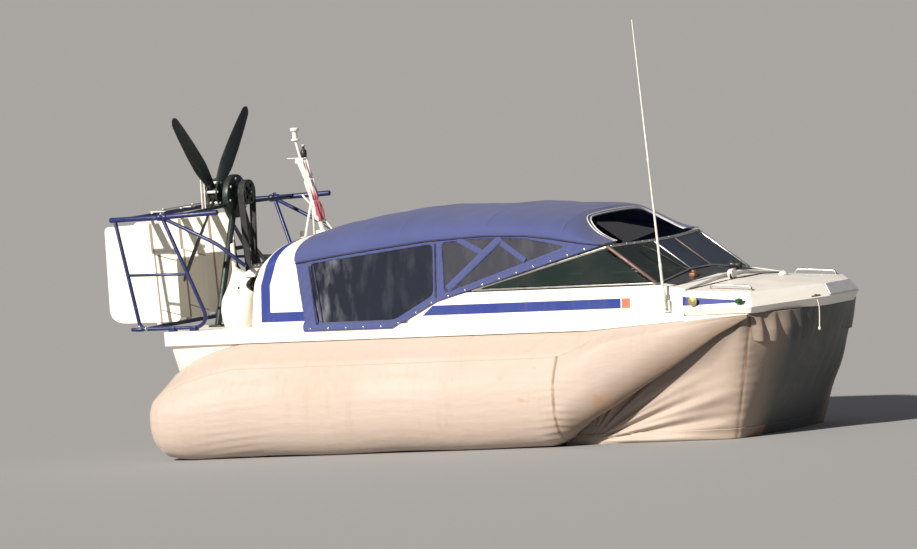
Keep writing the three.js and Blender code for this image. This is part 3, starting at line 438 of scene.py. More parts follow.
def arches(x, half, foot, crown, share):
    """For each x one arch of a superellipse: y = half times -cos, z rises from foot to crown with sin, each to the
    power 2/ARCH_POWER. share runs from 0 at the starboard foot to 1 at the port foot."""
    angle = share * math.pi
    y = -half * powered(np.cos(angle), 2 / ARCH_POWER)
    z = foot + (crown - foot) * powered(np.sin(angle), 2 / ARCH_POWER)
    return np.stack(np.broadcast_arrays(x, y, z), -1)


def cowl_skin():
    """Rows of arches along x, dense at the rounded aft end, on skirts that drop straight to the deck. The aft end is
    closed by rings that shrink to the fan's round hole."""
    x = COWL_AFT_X + (COWL_FORE_X - COWL_AFT_X) * np.linspace(0, 1, 72) ** 1.7
    half, foot, crown = columns_at(COWL_ROWS, x)
    foot, crown = blurred(foot, 5), blurred(crown, 5)
    share = np.linspace(0, 1, 90)[None, :]
    arch = arches(x[:, None], half[:, None], foot[:, None], crown[:, None], share)
    rise = np.linspace(0, 1, 12)[None, :-1]
    left = np.stack(np.broadcast_arrays(x[:, None], -(half[:, None] + 0.048 * (1 - rise)),
                                        COWL_BASE_Z + (foot[:, None] - COWL_BASE_Z) * rise), -1)
    right = left[:, ::-1] * (1, -1, 1)
    body = np.concatenate([left, arch, right], 1)
    rim = body[0]
    # The rim again without its open foot: the last stretch runs back along the deck.
    base = np.linspace(rim[-1], rim[0], 40)[1:-1]
    ring = np.concatenate([rim, base])
    centre = np.array([COWL_AFT_X, 0.0, FAN_Z])
    away = ring - centre
    angle = np.arctan2(away[:, 2], away[:, 1])
    hole = centre + FAN_HOLE * np.stack([np.zeros_like(angle), np.cos(angle), np.sin(angle)], -1)
    face = [ring + (hole - ring) * t for t in np.linspace(0, 1, 9)]
    depth = [hole + (d, 0, 0) for d in (0.02, 0.08, 0.19)]
    return body, np.stack(face + depth)


def cowl_paint():
    """Gelcoat with the band: between two distances from the aft rim, measured in x and, along its foot, in z."""
    paint = Paint("cowl_gelcoat", GELCOAT, 0.32)
    x, y, z = paint.axes()
    inset = paint.ramp(z, 1.42, 1.80, 0.045, 0.17)
    near = x - (COWL_AFT_X + 0.052)
    upright = paint.between(near - inset, 0.0, 0.088)
    foot = paint.between(z, 1.115, 1.195) * (near > 0.05)
    raised = upright * (z > 1.12)
    stripe = paint.math("MAXIMUM", raised, foot)
    paint.set(Base_Color=weathered(paint, paint.mix(stripe, GELCOAT, STRIPE_BLUE), 0.3))
    paint.mottle(6.0, 0.30, 0.50)
    paint.set(Specular_IOR_Level=0.22)
    return paint.material


def make_cowl():
    body, end = cowl_skin()
    white = cowl_paint()
    skin = new_piece("cowl_skin", body, grid_faces(*body.shape[:2]), white, slot="gelcoat_white")
    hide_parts("rear_cowl")
    back = new_piece("cowl_back", end, grid_faces(*end.shape[:2], closed_columns=True, flip=True), white,
                     slot="gelcoat_white")
    for piece in (skin, back):
        thicken(piece, 0.006)


make_cowl()

# Skirt. Coated cloth bags, blown up by the lift fan: one along each side, tapering to the bow corner, one across the
# stern, and a single curtain round the bow with a gathered flap over its top edge. Sewn, screwed to the deck's edge.
SKIRT_COLOR = (0.510, 0.420, 0.368)
SKIRT_SHADE = (0.42, 0.33, 0.26)
# Painted shade, with some grime, for the underside of each bag's cone.
CONE_SHADE_AND_GRIME = (0.17, 0.112, 0.068)
RUST = (0.42, 0.17, 0.035)
RUST_DARK = (0.20, 0.115, 0.045)
SEAM_X = 1.17
STERN_BAG_HALF = 0.652
STERN_BAG_FORE_X = -2.426
SIDES = (("starboard", -1), ("port", 1))
BAG_TABLE = np.array([
    # x, top, low, outer y, inner y
    (-2.715, 0.470, 0.300, 1.020, 0.940), (-2.690, 0.545, 0.205, 1.100, 0.870), (-2.640, 0.620, 0.105, 1.168, 0.830),
    (-2.540, 0.705, 0.030, 1.222, 0.790), (-2.340, 0.812, 0.002, 1.255, 0.720), (-2.100, 0.895, 0.0, 1.262, 0.680),
    (-1.850, 0.949, 0.0, 1.265, 0.672), (1.030, 0.949, 0.0, 1.265, 0.672), (1.150, 0.949, 0.040, 1.264, 0.700),
    (1.260, 0.949, 0.120, 1.262, 0.820), (1.450, 0.952, 0.228, 1.244, 0.958), (1.640, 0.963, 0.320, 1.210, 0.970),
    (1.850, 0.976, 0.438, 1.162, 0.972), (2.200, 0.997, 0.640, 1.080, 0.978), (2.600, 1.022, 0.880, 1.022, 0.980),
    (2.870, 1.037, 1.008, 0.996, 0.983),
])


def skirt_paint(name, stain_x):
    """Coated cloth: cream with warm blotches and fine weave. It is darker towards its foot and, forward of x 1.03,
    below a line that climbs 0.57 m a metre, where painted shade and grime darken the cone's underside. Rust bleeds
    from the seam at stain_x, from spots and from one patch."""
    paint = Paint(name, SKIRT_COLOR, 0.62)
    x, y, z = paint.axes()
    blotch = paint.ramp(paint.noise(1.3, 5.0), 0.35, 0.7)
    color = paint.mix(blotch * 0.55, SKIRT_COLOR, (0.48, 0.385, 0.325))
    low = paint.ramp(z + paint.noise(3.0, 4.0, stretch=(0.5, 0.5, 1.6)) * 0.35, 0.55, 0.12)
    color = paint.mix(low * 0.45, color, SKIRT_SHADE)
    # Painted shade and grime: darker below a line that climbs 0.57 m a metre, under the cone's lower edge.
    under = z - (x - 1.03) * 0.57
    under = under + paint.noise(2.6, 4.0) * 0.10
    cone_shade_and_grime = paint.ramp(under, 0.31, 0.07) * paint.ramp(x, 1.02, 1.30)
    color = paint.mix(cone_shade_and_grime * 0.75, color, CONE_SHADE_AND_GRIME)
    line = abs(x - stain_x)
    bleed = paint.ramp(line, 0.020, 0.002) * paint.ramp(paint.noise(9.0, 5.0), 0.30, 0.5)
    bleed = bleed * (z < 0.76)
    spots = paint.ramp(line, 1.1, 0.05) * paint.ramp(paint.noise(3.4, 6.0, stretch=(1.0, 1.0, 1.7)), 0.66, 0.74)
    color = paint.mix(spots * 0.5, color, RUST)
    patch = paint.between(x, stain_x + 0.35, stain_x + 0.47, 0.02) * paint.between(z, 0.30, 0.43, 0.03)
    patch = patch * paint.ramp(paint.noise(14.0, 4.0), 0.40, 0.58)
    color = paint.mix(patch * 0.55, color, RUST)
    color = paint.mix(bleed * 0.8, color, RUST_DARK)
    paint.set(Base_Color=weathered(paint, color, 0.35, (0.36, 0.24, 0.13)))
    weave = paint.noise(240.0, 1.0)
    creases = paint.noise(11.0, 4.0, stretch=(0.6, 0.6, 1.8))
    height = weave * 0.05 + creases
    paint.bump(height, 0.35, 0.012)
    paint.set(Roughness=paint.ramp(blotch, 0.0, 1.0, 0.55, 0.72))
    paint.set(Sheen_Weight=0.12, Sheen_Roughness=0.5)
    return paint.material


def valley(distance, width):
    """1 on the line, falling away to 0 either side of it."""
    return np.exp(-(distance / width) ** 2)


def eased(share):
    """A share clipped to 0 and 1, with the curve 3 s^2 - 2 s^3 between them."""
    share = np.clip(share, 0, 1)
    return share * share * (3 - 2 * share)


def bag_skin(side):
    """Each row is one section: a taut strip from the deck's edge down to the crease, then a superellipse that bulges
    out and under. Forward of the seam the strip shrinks and the crease climbs to the deck's edge, which leaves a cone.
    Waves are added outwards: a slow swell, fine lines along the bag, puckers at its seams and slanting folds on the
    cone."""
    x = np.concatenate([np.linspace(-2.715, -1.85, 110), np.linspace(-1.85, 1.15, 230)[1:],
                        np.linspace(1.15, 2.87, 190)[1:]])
    top, low, out, inner = [column[:, None] for column in columns_at(BAG_TABLE, x, 7)]
    X = x[:, None]
    hull_half = 0.620 + (0.955 - 0.620) * (top - 0.160) / 0.790
    top_y = np.minimum(np.where(X < 1.4, hull_half + 0.006, 0.977), 0.977)
    fade = eased((X - 1.19) / 0.52)
    crease_z = low + (0.8 + 0.185 * fade) * (top - low)
    crease_y = out - 0.115 * np.clip((out - inner) / 0.5, 0.1, 1)
    crease_y = crease_y + (top_y + 0.010 - crease_y) * fade
    v = np.linspace(0, 1, 120)[None, :]
    strip = 0.13 - 0.110 * fade
    on_strip = np.clip(v / strip, 0, 1)
    strip_y = top_y + (crease_y - top_y) * on_strip
    strip_z = top + (crease_z - top) * on_strip
    angle = np.radians(58 - 226 * np.clip((v - strip) / (1 - strip), 0, 1))
    bulge_y = (out + inner) / 2 + (out - inner) / 2 * powered(np.cos(angle), 0.86)
    bulge_z = (crease_z + low) / 2 + (crease_z - low) / 2 * powered(np.sin(angle), 0.86)
    join = eased((v - strip) / 0.07)
    y = np.where(v < strip, strip_y, crease_y + (bulge_y - crease_y) * join)
    z = np.where(v < strip, strip_z, crease_z + (bulge_z - crease_z) * join)
    way_y, way_z = y - (out + inner) / 2, z - (top + low) / 2
    length = np.hypot(way_y, way_z) + 1e-6
    wide = np.clip((out - inner) / 0.5, 0.15, 1)
    near_seam = valley(X - SEAM_X, 0.16) + 0.5 * valley(X + 1.85, 0.3)
    faint_seams = sum(valley(X - at, 0.010) for at in (-1.62, -0.70, 0.24))
    belly = np.clip((v - 0.2) / 0.3, 0, 1) * np.clip((1 - v) / 0.3, 0, 1)
    swell = 0.006 * np.sin(2 * math.pi * X / 1.31 + 1.3 * np.sin(4 * z)) * belly
    lengthwise = 0.0005 * np.sin(2 * math.pi * z / 0.083 + 2.1 * np.sin(1.9 * X) + 1.3 * np.sin(5.1 * X))
    puckers = 0.004 * near_seam * np.sin(2 * math.pi * z / 0.062 + 9 * np.abs(X - SEAM_X)) * belly
    on_cone = np.clip((X - 1.35) / 0.5, 0, 1) * np.clip((2.75 - X) / 0.4, 0, 1) * np.clip((v - 0.35) / 0.2, 0, 1)
    folds = 0.010 * np.sin(2 * math.pi * (z - 0.62 * X) / 0.21 + 0.8) * on_cone
    seam = 0.009 * valley(X - SEAM_X, 0.008) * (v > strip) + 0.002 * faint_seams
    crease = 0.017 * (1 - fade) * valley(v - strip, 0.010)
    lift = (swell + lengthwise + puckers + folds - seam - crease) * wide
    y, z = y + lift * way_y / length, np.maximum(z + lift * way_z / length, 0.001)
    uv = np.stack(np.broadcast_arrays(X, v * 2.2), -1)
    return np.stack([np.broadcast_to(X, y.shape), side * y, z], -1), uv


SKIRT_CLOTH = skirt_paint("skirt_cloth", SEAM_X)


def walked(line):
    """Distance walked along a line to each of its points."""
    return np.concatenate([[0], np.cumsum(np.linalg.norm(np.diff(line, axis=0), axis=1))])


def at_distances(line, distances):
    """The points that lie at these distances along a line."""
    walk = walked(line)
    return np.stack([np.interp(distances, walk, column) for column in line.T], -1)


def make_bag(name, points, uv):
    """A bag of skirt cloth from rings of points, closed at both ends."""
    rows, columns = points.shape[:2]
    faces = grid_faces(rows, columns, closed_columns=True)
    bag = new_piece(name, points, faces, SKIRT_CLOTH, slot="skirt_fabric", uv=uv)
    return face_out(close_ends(bag, [np.arange(columns), np.arange((rows - 1) * columns, rows * columns)]))


def stern_skin():
    """A closed section carried across the stern: a rounded tube under the transom, its ends drawn in a little."""
    profile = np.array([(-2.5205, 0.738), (-2.640, 0.722), (-2.745, 0.620), (-2.792, 0.450), (-2.778, 0.240),
                        (-2.700, 0.075), (-2.590, 0.003), (-2.490, 0.017), (-2.432, 0.120), (-2.427, 0.262),
                        (-2.5205, 0.296)])
    along = np.linspace(0, walked(profile)[-1], 90)
    section = at_distances(profile, along)
    section[1:-1] = blurred(section, 6)[1:-1]
    y = np.linspace(-STERN_BAG_HALF, STERN_BAG_HALF, 120)[:, None]
    centre = section.mean(0)
    size = 1 - 0.10 * valley(np.abs(y) - STERN_BAG_HALF, 0.05) - 0.012 * valley(y, 0.01)
    size = size + 0.004 * np.sin(2 * math.pi * y / 0.37) * np.sin(along[None, :] * 14)
    x, z = [centre[k] + (section[None, :, k] - centre[k]) * size for k in (0, 1)]
    points = np.stack([np.minimum(x, STERN_BAG_FORE_X), np.broadcast_to(y, x.shape), np.maximum(z, 0.001)], -1)
    return points, np.stack(np.broadcast_arrays(y, along[None, :]), -1)


for name, side in SIDES:
    bag = make_bag(f"skirt_bag_{name}", *bag_skin(side))
    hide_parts(f"side_bag_{name}")
bag = make_bag("skirt_bag_stern", *stern_skin())
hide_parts("stern_bag")

CURTAIN_LEVELS = np.array([
    # z, aft x, side x, half width, half width at the corner, front x, half width at the front
    (0.0, 1.070, 2.610, 0.905, 0.838, 2.690, 0.400), (0.160, 1.200, 2.665, 0.918, 0.866, 2.790, 0.380),
    (0.460, 1.760, 2.765, 0.948, 0.903, 2.965, 0.340), (0.800, 2.330, 2.860, 0.954, 0.931, 3.140, 0.295),
    (1.040, 2.800, 2.900, 0.945, 0.942, 3.235, 0.262),
])


def unit(vectors):
    return vectors / np.linalg.norm(vectors, axis=-1, keepdims=True)


def bow_plan(z, count, start_x=None):
    """The curtain's plan at one height: a spline through its control points from the starboard end round the bow,
    sampled at equal steps of length, with the outward direction at each point."""
    aft, side, half, corner, front, front_half = columns_at(CURTAIN_LEVELS, z)
    half_line = np.array([
        (aft, -half), (aft + (side - 0.06 - aft) * 0.6, -(half + (corner - half) * 0.6)),
        (side - 0.06, -corner + 0.012),
        ((side + front) / 2, -(corner + (front_half - corner) * 0.42)), (front - 0.035, -front_half), (front, 0.0)])
    control = np.concatenate([half_line, half_line[-2::-1] * (1, -1)])
    ghost = np.concatenate([2 * control[:1] - control[1:2], control, 2 * control[-1:] - control[-2:-1]])
    t = np.linspace(0, len(control) - 1, 900)
    k = np.minimum(t.astype(int), len(control) - 2)
    f = (t - k)[:, None]
    p = [ghost[k + i] for i in range(4)]
    line = 0.5 * (2 * p[1] + (p[2] - p[0]) * f + (2 * p[0] - 5 * p[1] + 4 * p[2] - p[3]) * f ** 2
                  + (3 * p[1] - p[0] - 3 * p[2] + p[3]) * f ** 3)
    if start_x:
        line = line[line[:, 0] >= start_x]
    even = at_distances(line, np.linspace(0, walked(line)[-1], count))
    way = unit(np.gradient(even, axis=0))
    return even, np.stack([way[:, 1], -way[:, 0]], -1)


def curtain_skin(z, count):
    """Stacks the plans and pushes them out by folds that fan from each lower aft corner, by slack in the middle, and in
    along the sewn seam that runs down each cheek."""
    plans = [bow_plan(level, count) for level in z]
    line, out = (np.stack([plan[k] for plan in plans]) for k in (0, 1))
    Z = z[:, None]
    x, y = line[..., 0], line[..., 1]
    fan = np.arctan2(Z - 0.02, x - 1.30)
    reach = np.hypot(Z - 0.02, x - 1.30)
    cheek = np.clip((2.75 - x) / 0.3, 0, 1) * np.clip((np.abs(y) - 0.5) / 0.2, 0, 1)
    fold = 0.016 * np.sin(fan * 31 + 1.1 * np.sin(3 * reach)) + 0.007 * np.sin(fan * 67 + 2.0 * reach)
    fold = fold * cheek * np.clip(reach / 0.35, 0, 1) * np.clip((0.60 - Z) / 0.35, 0, 1)
    slack = 0.010 * np.sin(2 * math.pi * Z / 0.55 + 2.2 * y) * np.sin(math.pi * Z / 1.04)
    upright = 0.0045 * np.sin(2 * math.pi * y / 0.19 + 3 * Z) * np.clip((x - 2.85) / 0.1, 0, 1) * (1 - Z / 1.3)
    seam_x = 2.605 + 0.30 * Z - 0.05 * Z * Z
    seam = valley(x - seam_x, 0.010) * (np.abs(y) > 0.5)
    ripple = 0.0015 * np.sin(2 * math.pi * Z / 0.075) * valley(x - seam_x, 0.06)
    push = fold + slack + upright + ripple - 0.006 * seam
    push = push * np.clip((1.04 - Z) / 0.12, 0, 1)
    return np.concatenate([line + out * push[..., None], np.broadcast_to(Z[..., None], x.shape + (1,))], -1)


def curtain_paint():
    """The skirt's cloth, darkening forward of a rusty seam that leans forward as it rises, in three steps of painted
    shade, the last tinted teal as a painted reflection, and with painted shade in the fold where it runs in behind the
    bags' cones."""
    paint = Paint("bow_curtain_cloth", SKIRT_COLOR, 0.62)
    x, y, z = paint.axes()
    blotch = paint.ramp(paint.noise(1.5, 5.0), 0.35, 0.7)
    color = paint.mix(blotch * 0.6, SKIRT_COLOR, (0.45, 0.36, 0.295))
    bent = z * 0.30 - z * z * 0.05
    past = x - 2.605 - bent
    uneven = (paint.noise(3.2, 5.0, stretch=(1, 1, 0.5)) - 0.5) * 0.16
    inward = paint.math("MAXIMUM", 0.80 - abs(y), 0.0)
    ahead = past + uneven + inward * 0.4
    ahead = ahead + (0.45 - z) * 0.15
    # Three steps of painted shade towards the bow's front.
    painted_shade_first = paint.ramp(ahead, -0.62, 0.02)
    color = paint.mix(painted_shade_first * 0.78, color, (0.285, 0.220, 0.172))
    # Painted shade in the fold where the curtain runs in behind the cones.
    tucked = z - (x - 1.20) * 0.60
    color = paint.mix(paint.ramp(tucked, -0.16, -0.02) * 0.7, color, (0.15, 0.115, 0.095))
    painted_shade_second = paint.ramp(ahead, 0.0, 0.22)
    color = paint.mix(painted_shade_second * 0.62, color, (0.25, 0.195, 0.155))
    # The deepest painted shade, tinted teal as a painted reflection; the hem at the starboard foot is left out of it.
    painted_shade_deepest = paint.ramp(ahead, 0.13, 0.31)
    hem_out_of_shade = (z < 0.086) * (y < -0.46)
    painted_shade_deepest = painted_shade_deepest * (1.0 - hem_out_of_shade)
    color = paint.mix(painted_shade_deepest * 0.88, color, (0.052, 0.072, 0.072))
    seam = abs(past)
    rust = paint.ramp(seam, 0.012, 0.002) * paint.ramp(paint.noise(8.0, 4.0), 0.25, 0.5)
    hem = (paint.ramp(z, 0.12, 0.04) * paint.between(y, -0.66, -0.46, 0.06)
           * paint.ramp(paint.noise(5.0, 4.0), 0.36, 0.5))
    color = paint.mix(hem * 0.8, color, RUST)
    color = paint.mix(rust * 0.75, color, (0.20, 0.105, 0.05))
    paint.set(Base_Color=weathered(paint, color, 0.4, (0.33, 0.23, 0.14)))
    creases = paint.noise(9.0, 4.0, stretch=(0.8, 0.8, 1.4))
    paint.bump(paint.noise(240.0, 1.0) * 0.05 + creases, 0.35, 0.012)
    paint.set(Sheen_Weight=0.12, Sheen_Roughness=0.5)
    return paint.material


CURTAIN_CLOTH = curtain_paint()


def make_bow_curtain():
    """The cheeks and front as one wall 5 mm thick, a doubled hem along its foot, and the gathered flap, whose pleats
    deepen downwards and whose foot is scalloped."""
    z = np.concatenate([np.linspace(0.001, 0.6, 90), np.linspace(0.6, 1.039, 50)[1:]])
    points = curtain_skin(z, 300)
    uv = np.stack(np.broadcast_arrays(np.linspace(0, 5, 300)[None, :], z[:, None]), -1)
    wall = new_piece("skirt_bow", points, grid_faces(*points.shape[:2], flip=True), CURTAIN_CLOTH, slot="skirt_fabric",
                     uv=uv)
    thicken(wall, 0.005)
    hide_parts("bow_curtain")

    hem_z = np.linspace(0.001, 0.088, 10)
    hem = curtain_skin(hem_z, 300)
    centre = np.array([2.2, 0.0])
    away = unit(hem[..., :2] - centre)
    flare = (0.010 + 0.004 * np.sin(np.linspace(0, 44, 300)))[None, :, None] * (1 - hem_z / 0.12)[:, None, None]
    hem[..., :2] += away * (0.004 + flare)
    band = new_piece("skirt_bow_hem", hem, grid_faces(*hem.shape[:2], flip=True), CURTAIN_CLOTH, slot="skirt_fabric")
    thicken(band, 0.003)

    pleats, count = 16, 16 * 26
    share = np.linspace(0, 1, count)
    scallop = 0.012 * np.abs(np.sin(share * pleats * math.pi)) + 0.018 * np.sin(share * 9)
    rows = []
    for down in np.linspace(0, 1, 30):
        z_line = 1.039 - down * (0.225 + scallop)
        plan, out = bow_plan(float(z_line.mean()), count, start_x=2.850)
        gather = (share * pleats + 0.10 * np.sin(share * 23)) % 1
        crest = np.where(gather < 0.72, np.sin(gather / 0.72 * math.pi / 2) ** 1.4,
                         np.cos((gather - 0.72) / 0.28 * math.pi / 2))
        depth = 0.005 + 0.036 * min(1, down * 1.7) - 0.008 * down
        cheek = np.clip((np.abs(plan[:, 1]) - 0.27) / 0.10, 0.0, 1.0) * np.where(plan[:, 1] > 0, 0.15, 1.0)
        push = 0.004 + (0.010 * math.sin(down * math.pi) + depth * crest) * cheek
        rows.append(np.column_stack([plan + out * push[:, None], z_line]))
    flap = np.stack(rows)
    uv = np.stack(np.broadcast_arrays(share[None, :] * 2.3, np.linspace(0, 0.24, 30)[:, None]), -1)
    piece = new_piece("skirt_bow_flap", flap, grid_faces(*flap.shape[:2]), CURTAIN_CLOTH, slot="skirt_fabric", uv=uv)
    thicken(piece, 0.003)
    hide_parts("bow_flap")


make_bow_curtain()

# Canopy. One piece of blue woven canvas over folding bows, zipped and snapped on, with a big rounded opening in its
# front panel, finished with a white zip and piping. The helm is under it.
CANVAS_BLUE = (0.054, 0.070, 0.202)
CANVAS_LIGHT = (0.072, 0.094, 0.262)
ROOF_ROWS = np.array([
    # x, eave z, crown z
    (-1.330, 1.600, 1.816), (-1.200, 1.618, 1.864), (-0.950, 1.650, 1.920), (-0.600, 1.690, 1.962),
    (-0.100, 1.742, 1.974), (0.400, 1.764, 1.966), (0.820, 1.752, 1.952), (1.060, 1.722, 1.934),
    (1.150, 1.704, 1.912), (1.240, 1.690, 1.866), (1.350, 1.672, 1.780), (1.545, 1.650, 1.668),
])
HOOPS_X = (-1.315, -0.36, 0.44, 1.150)
SIDE_FACE_Y = 0.942  # of the side curtains at deck level
SIDE_LEAN = 0.1
DECK_Z = 1.070
HATCH_AFT_X = 1.225
HATCH_HALF = 0.630
HATCH_CORNER = (0.25, 0.22)  # radii of its aft corners, along and across


def canvas_paint():
    """Woven canvas: faded in wide blotches and darker in small ones, with the lines of its weave and soft puckers."""
    paint = Paint("blue_canvas", CANVAS_BLUE, 0.88)
    fade = paint.ramp(paint.noise(1.7, 4.0), 0.3, 0.75)
    color = paint.mix(fade * 0.55, CANVAS_BLUE, CANVAS_LIGHT)
    smudge = paint.ramp(paint.noise(4.0, 5.0, stretch=(0.7, 1.0, 1.0)), 0.55, 0.8)
    color = paint.mix(smudge * 0.3, color, (0.055, 0.065, 0.165))
    paint.set(Base_Color=color)
    wave = paint.node("ShaderNodeTexWave")
    for key, value in (("Scale", 95.0), ("Distortion", 0.6), ("Vector", paint.place())):
        paint.feed(wave.inputs[key], value)
    weave = Signal(paint, wave.outputs["Fac"])
    paint.bump(weave * 0.05 + paint.noise(7.0, 4.0, stretch=(1.4, 0.6, 1.0)), 0.5, 0.014)
    paint.set(Sheen_Weight=0.12, Sheen_Roughness=0.6)
    return paint.material


CANVAS = canvas_paint()


def side_y(z):
    """|y| of the leaning side plane at a height."""
    return SIDE_FACE_Y - SIDE_LEAN * (np.asarray(z) - DECK_Z)


ROOF_X = np.linspace(-1.330, 1.545, 232)
ROOF_LINE = columns_at(ROOF_ROWS, ROOF_X, 13)


def roof_sag(x):
    """What each x adds to the crown's height: less than 0 between the hoops, where it hangs, and more over one."""
    nearest = np.abs(np.asarray(x)[..., None] - np.array(HOOPS_X)).min(-1)
    return -0.014 * np.clip(nearest / 0.3, 0, 1) ** 1.5 + 0.004 * valley(nearest, 0.018)


def roof_section(x):
    """The smoothed eave and crown heights at each x, and the half width at the eave."""
    eave, crown = [np.interp(x, ROOF_X, line) for line in ROOF_LINE]
    return eave, crown, side_y(eave) + 0.005


def roof_points(x, share):
    """The roof's arches at each x."""
    eave, crown, half = [column[:, None] for column in roof_section(x)]
    return arches(x[:, None], half, eave, crown, share[None, :])


def hatch_edge(count):
    """The opening's outline from its starboard foot aft, round two corners, to its port foot, as x and y."""
    corner = np.linspace(0, math.pi / 2, 24)
    radius = HATCH_CORNER
    leg = np.column_stack([np.linspace(1.545, HATCH_AFT_X + radius[0], 30), np.full(30, -HATCH_HALF)])
    bend = np.column_stack([HATCH_AFT_X + radius[0] * (1 - np.sin(corner)),
                            -HATCH_HALF + radius[1] * (1 - np.cos(corner))])
    half = np.concatenate([leg, bend[1:]])
    line = np.concatenate([half, half[::-1] * (1, -1)])
    return at_distances(line, np.linspace(0, walked(line)[-1], count))


def make_canopy():
    """Arches along x, sagging between the hoops and raised over them. Faces inside the opening are left out, and the
    points next to it are moved onto its edge."""
    x = ROOF_X
    share = np.linspace(0, 1, 181)
    roof = roof_points(x, share)
    wave = 0.004 * np.sin(2 * math.pi * x / 0.31)[:, None] * np.sin(share * math.pi * 5)[None, :]
    top = np.sin(share * math.pi)[None, :]
    roof[..., 2] += (roof_sag(x)[:, None] + wave) * top
    inside = (roof[..., 0] > HATCH_AFT_X) & (np.abs(roof[..., 1]) < HATCH_HALF)
    past_x = np.clip((HATCH_AFT_X + HATCH_CORNER[0] - roof[..., 0]) / HATCH_CORNER[0], 0, 1)
    past_y = np.clip((np.abs(roof[..., 1]) - HATCH_HALF + HATCH_CORNER[1]) / HATCH_CORNER[1], 0, 1)
    inside &= np.hypot(past_x, past_y) < 1
    edge = hatch_edge(500)
    flat = roof.reshape(-1, 3)
    cut = np.flatnonzero(inside.ravel())
    near = ((edge[None] - flat[cut, None, :2]) ** 2).sum(-1).argmin(1)
    gap = np.linalg.norm(edge[near] - flat[cut, :2], axis=1)
    corner_out = gap > 0.020
    faces = grid_faces(*roof.shape[:2])
    dropped = np.zeros(len(flat), bool)
    dropped[cut[corner_out]] = True
    faces = faces[~dropped[faces].any(1)]
    moved = cut[~corner_out]
    flat[moved, :2] = edge[near[~corner_out]]
    uv = np.stack(np.broadcast_arrays(x[:, None], share[None, :] * 2.3), -1)
    piece = new_piece("canopy_roof", flat, faces, CANVAS, slot="blue_canvas", uv=uv)
    shell = bmesh.new()
    shell.from_mesh(piece.data)
    bmesh.ops.delete(shell, geom=[v for v in shell.verts if not v.link_faces], context="VERTS")
    shell.to_mesh(piece.data)
    shell.free()
    thicken(piece, 0.003, 1.0)
    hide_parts("canopy_top")


make_canopy()


def circle(count):
    """Angles of evenly spaced points round a circle."""
    return np.linspace(0, 2 * math.pi, count, endpoint=False)


def rounded(points, bend, step=9):
    """The points, each inner corner swapped for a quadratic curve that starts and ends a bend away from it."""
    points = np.asarray(points, float)
    t = np.linspace(0, 1, step)[:, None]
    stretches = [points[:1]]
    for before, corner, after in zip(points[:-2], points[1:-1], points[2:]):
        start, end = [corner + (other - corner) * min(bend / np.linalg.norm(other - corner), 0.48)
                      for other in (before, after)]
        stretches.append((1 - t) ** 2 * start + 2 * t * (1 - t) * corner + t ** 2 * end)
    return np.concatenate(stretches + [points[-1:]])


def tube(points, radius, bend=0.0, sides=14):
    """Points and faces of a round bar along a line, with domed ends. The radius is one number, or one for each end.
    Its rings are spanned by the normal of the line's best plane and the direction across it."""
    line = rounded(points, bend) if bend and len(points) > 2 else np.asarray(points, float)
    way = unit(np.gradient(line, axis=0))
    upright = np.linalg.svd(line - line.mean(0) + way[:1] * 1e-6)[2][-1]
    across = unit(np.cross(way, upright))
    over = np.cross(across, way)
    walk = walked(line)
    reach = np.interp(walk / walk[-1], [0, 1], [radius, radius] if np.isscalar(radius) else radius)
    dome = np.array([(0.50, 0.02), (0.43, 0.5), (0.25, 0.85)])
    line = np.concatenate([line[0] - way[0] * dome[:, :1] * reach[0], line,
                           line[-1] + way[-1] * dome[::-1, :1] * reach[-1]])
    reach = np.concatenate([reach[0] * dome[:, 1], reach, reach[-1] * dome[::-1, 1]])
    across, over = [np.concatenate([np.repeat(v[:1], 3, 0), v, np.repeat(v[-1:], 3, 0)]) for v in (across, over)]
    angle = circle(sides)
    ring = np.cos(angle)[None, :, None] * across[:, None] + np.sin(angle)[None, :, None] * over[:, None]
    points = line[:, None] + ring * reach[:, None, None]
    return points.reshape(-1, 3), grid_faces(len(line), sides, closed_columns=True)


def turned(profile, base, axis, sides=40):
    """Points and faces of a shape of revolution: (distance along the axis from the base, radius) for each ring."""
    profile = np.asarray(profile, float)
    axis = unit(np.asarray(axis, float))
    across = unit(np.cross(axis, (0, 0, 1) if abs(axis[2]) < 0.9 else (0, 1, 0)))
    angle = circle(sides)
    ring = np.cos(angle)[:, None] * across + np.sin(angle)[:, None] * np.cross(axis, across)
    points = np.asarray(base) + profile[:, :1, None] * axis + profile[:, 1:, None] * ring
    return points.reshape(-1, 3), grid_faces(len(profile), sides, closed_columns=True)


def block(low, high):
    """Points and faces of a box between two corners."""
    pick = np.array([(i >> 2 & 1, i >> 1 & 1, i & 1) for i in range(8)])
    points = np.where(pick, high, low)
    return points.astype(float), np.array([(0, 1, 3, 2), (4, 6, 7, 5), (0, 4, 5, 1), (2, 3, 7, 6), (0, 2, 6, 4),
                                           (1, 5, 7, 3)])


def merged(parts):
    """The points and faces of several shapes as one shape."""
    starts = np.cumsum([0] + [len(points) for points, _ in parts[:-1]])
    return (np.concatenate([points for points, _ in parts]),
            np.concatenate([faces + start for (_, faces), start in zip(parts, starts)]))


def assembled(name, parts, material, body="craft", slot=None, bevel=None, smooth=True):
    """One piece from several shapes' points and faces, its closed shells turned outwards."""
    piece = face_out(new_piece(name, *merged(parts), material, body=body, slot=slot, smooth=smooth))
    if bevel:
        edge = piece.modifiers.new("edge", "BEVEL")
        edge.width, edge.segments = bevel, 2
        edge.limit_method, edge.angle_limit = "ANGLE", math.radians(40)
    return piece


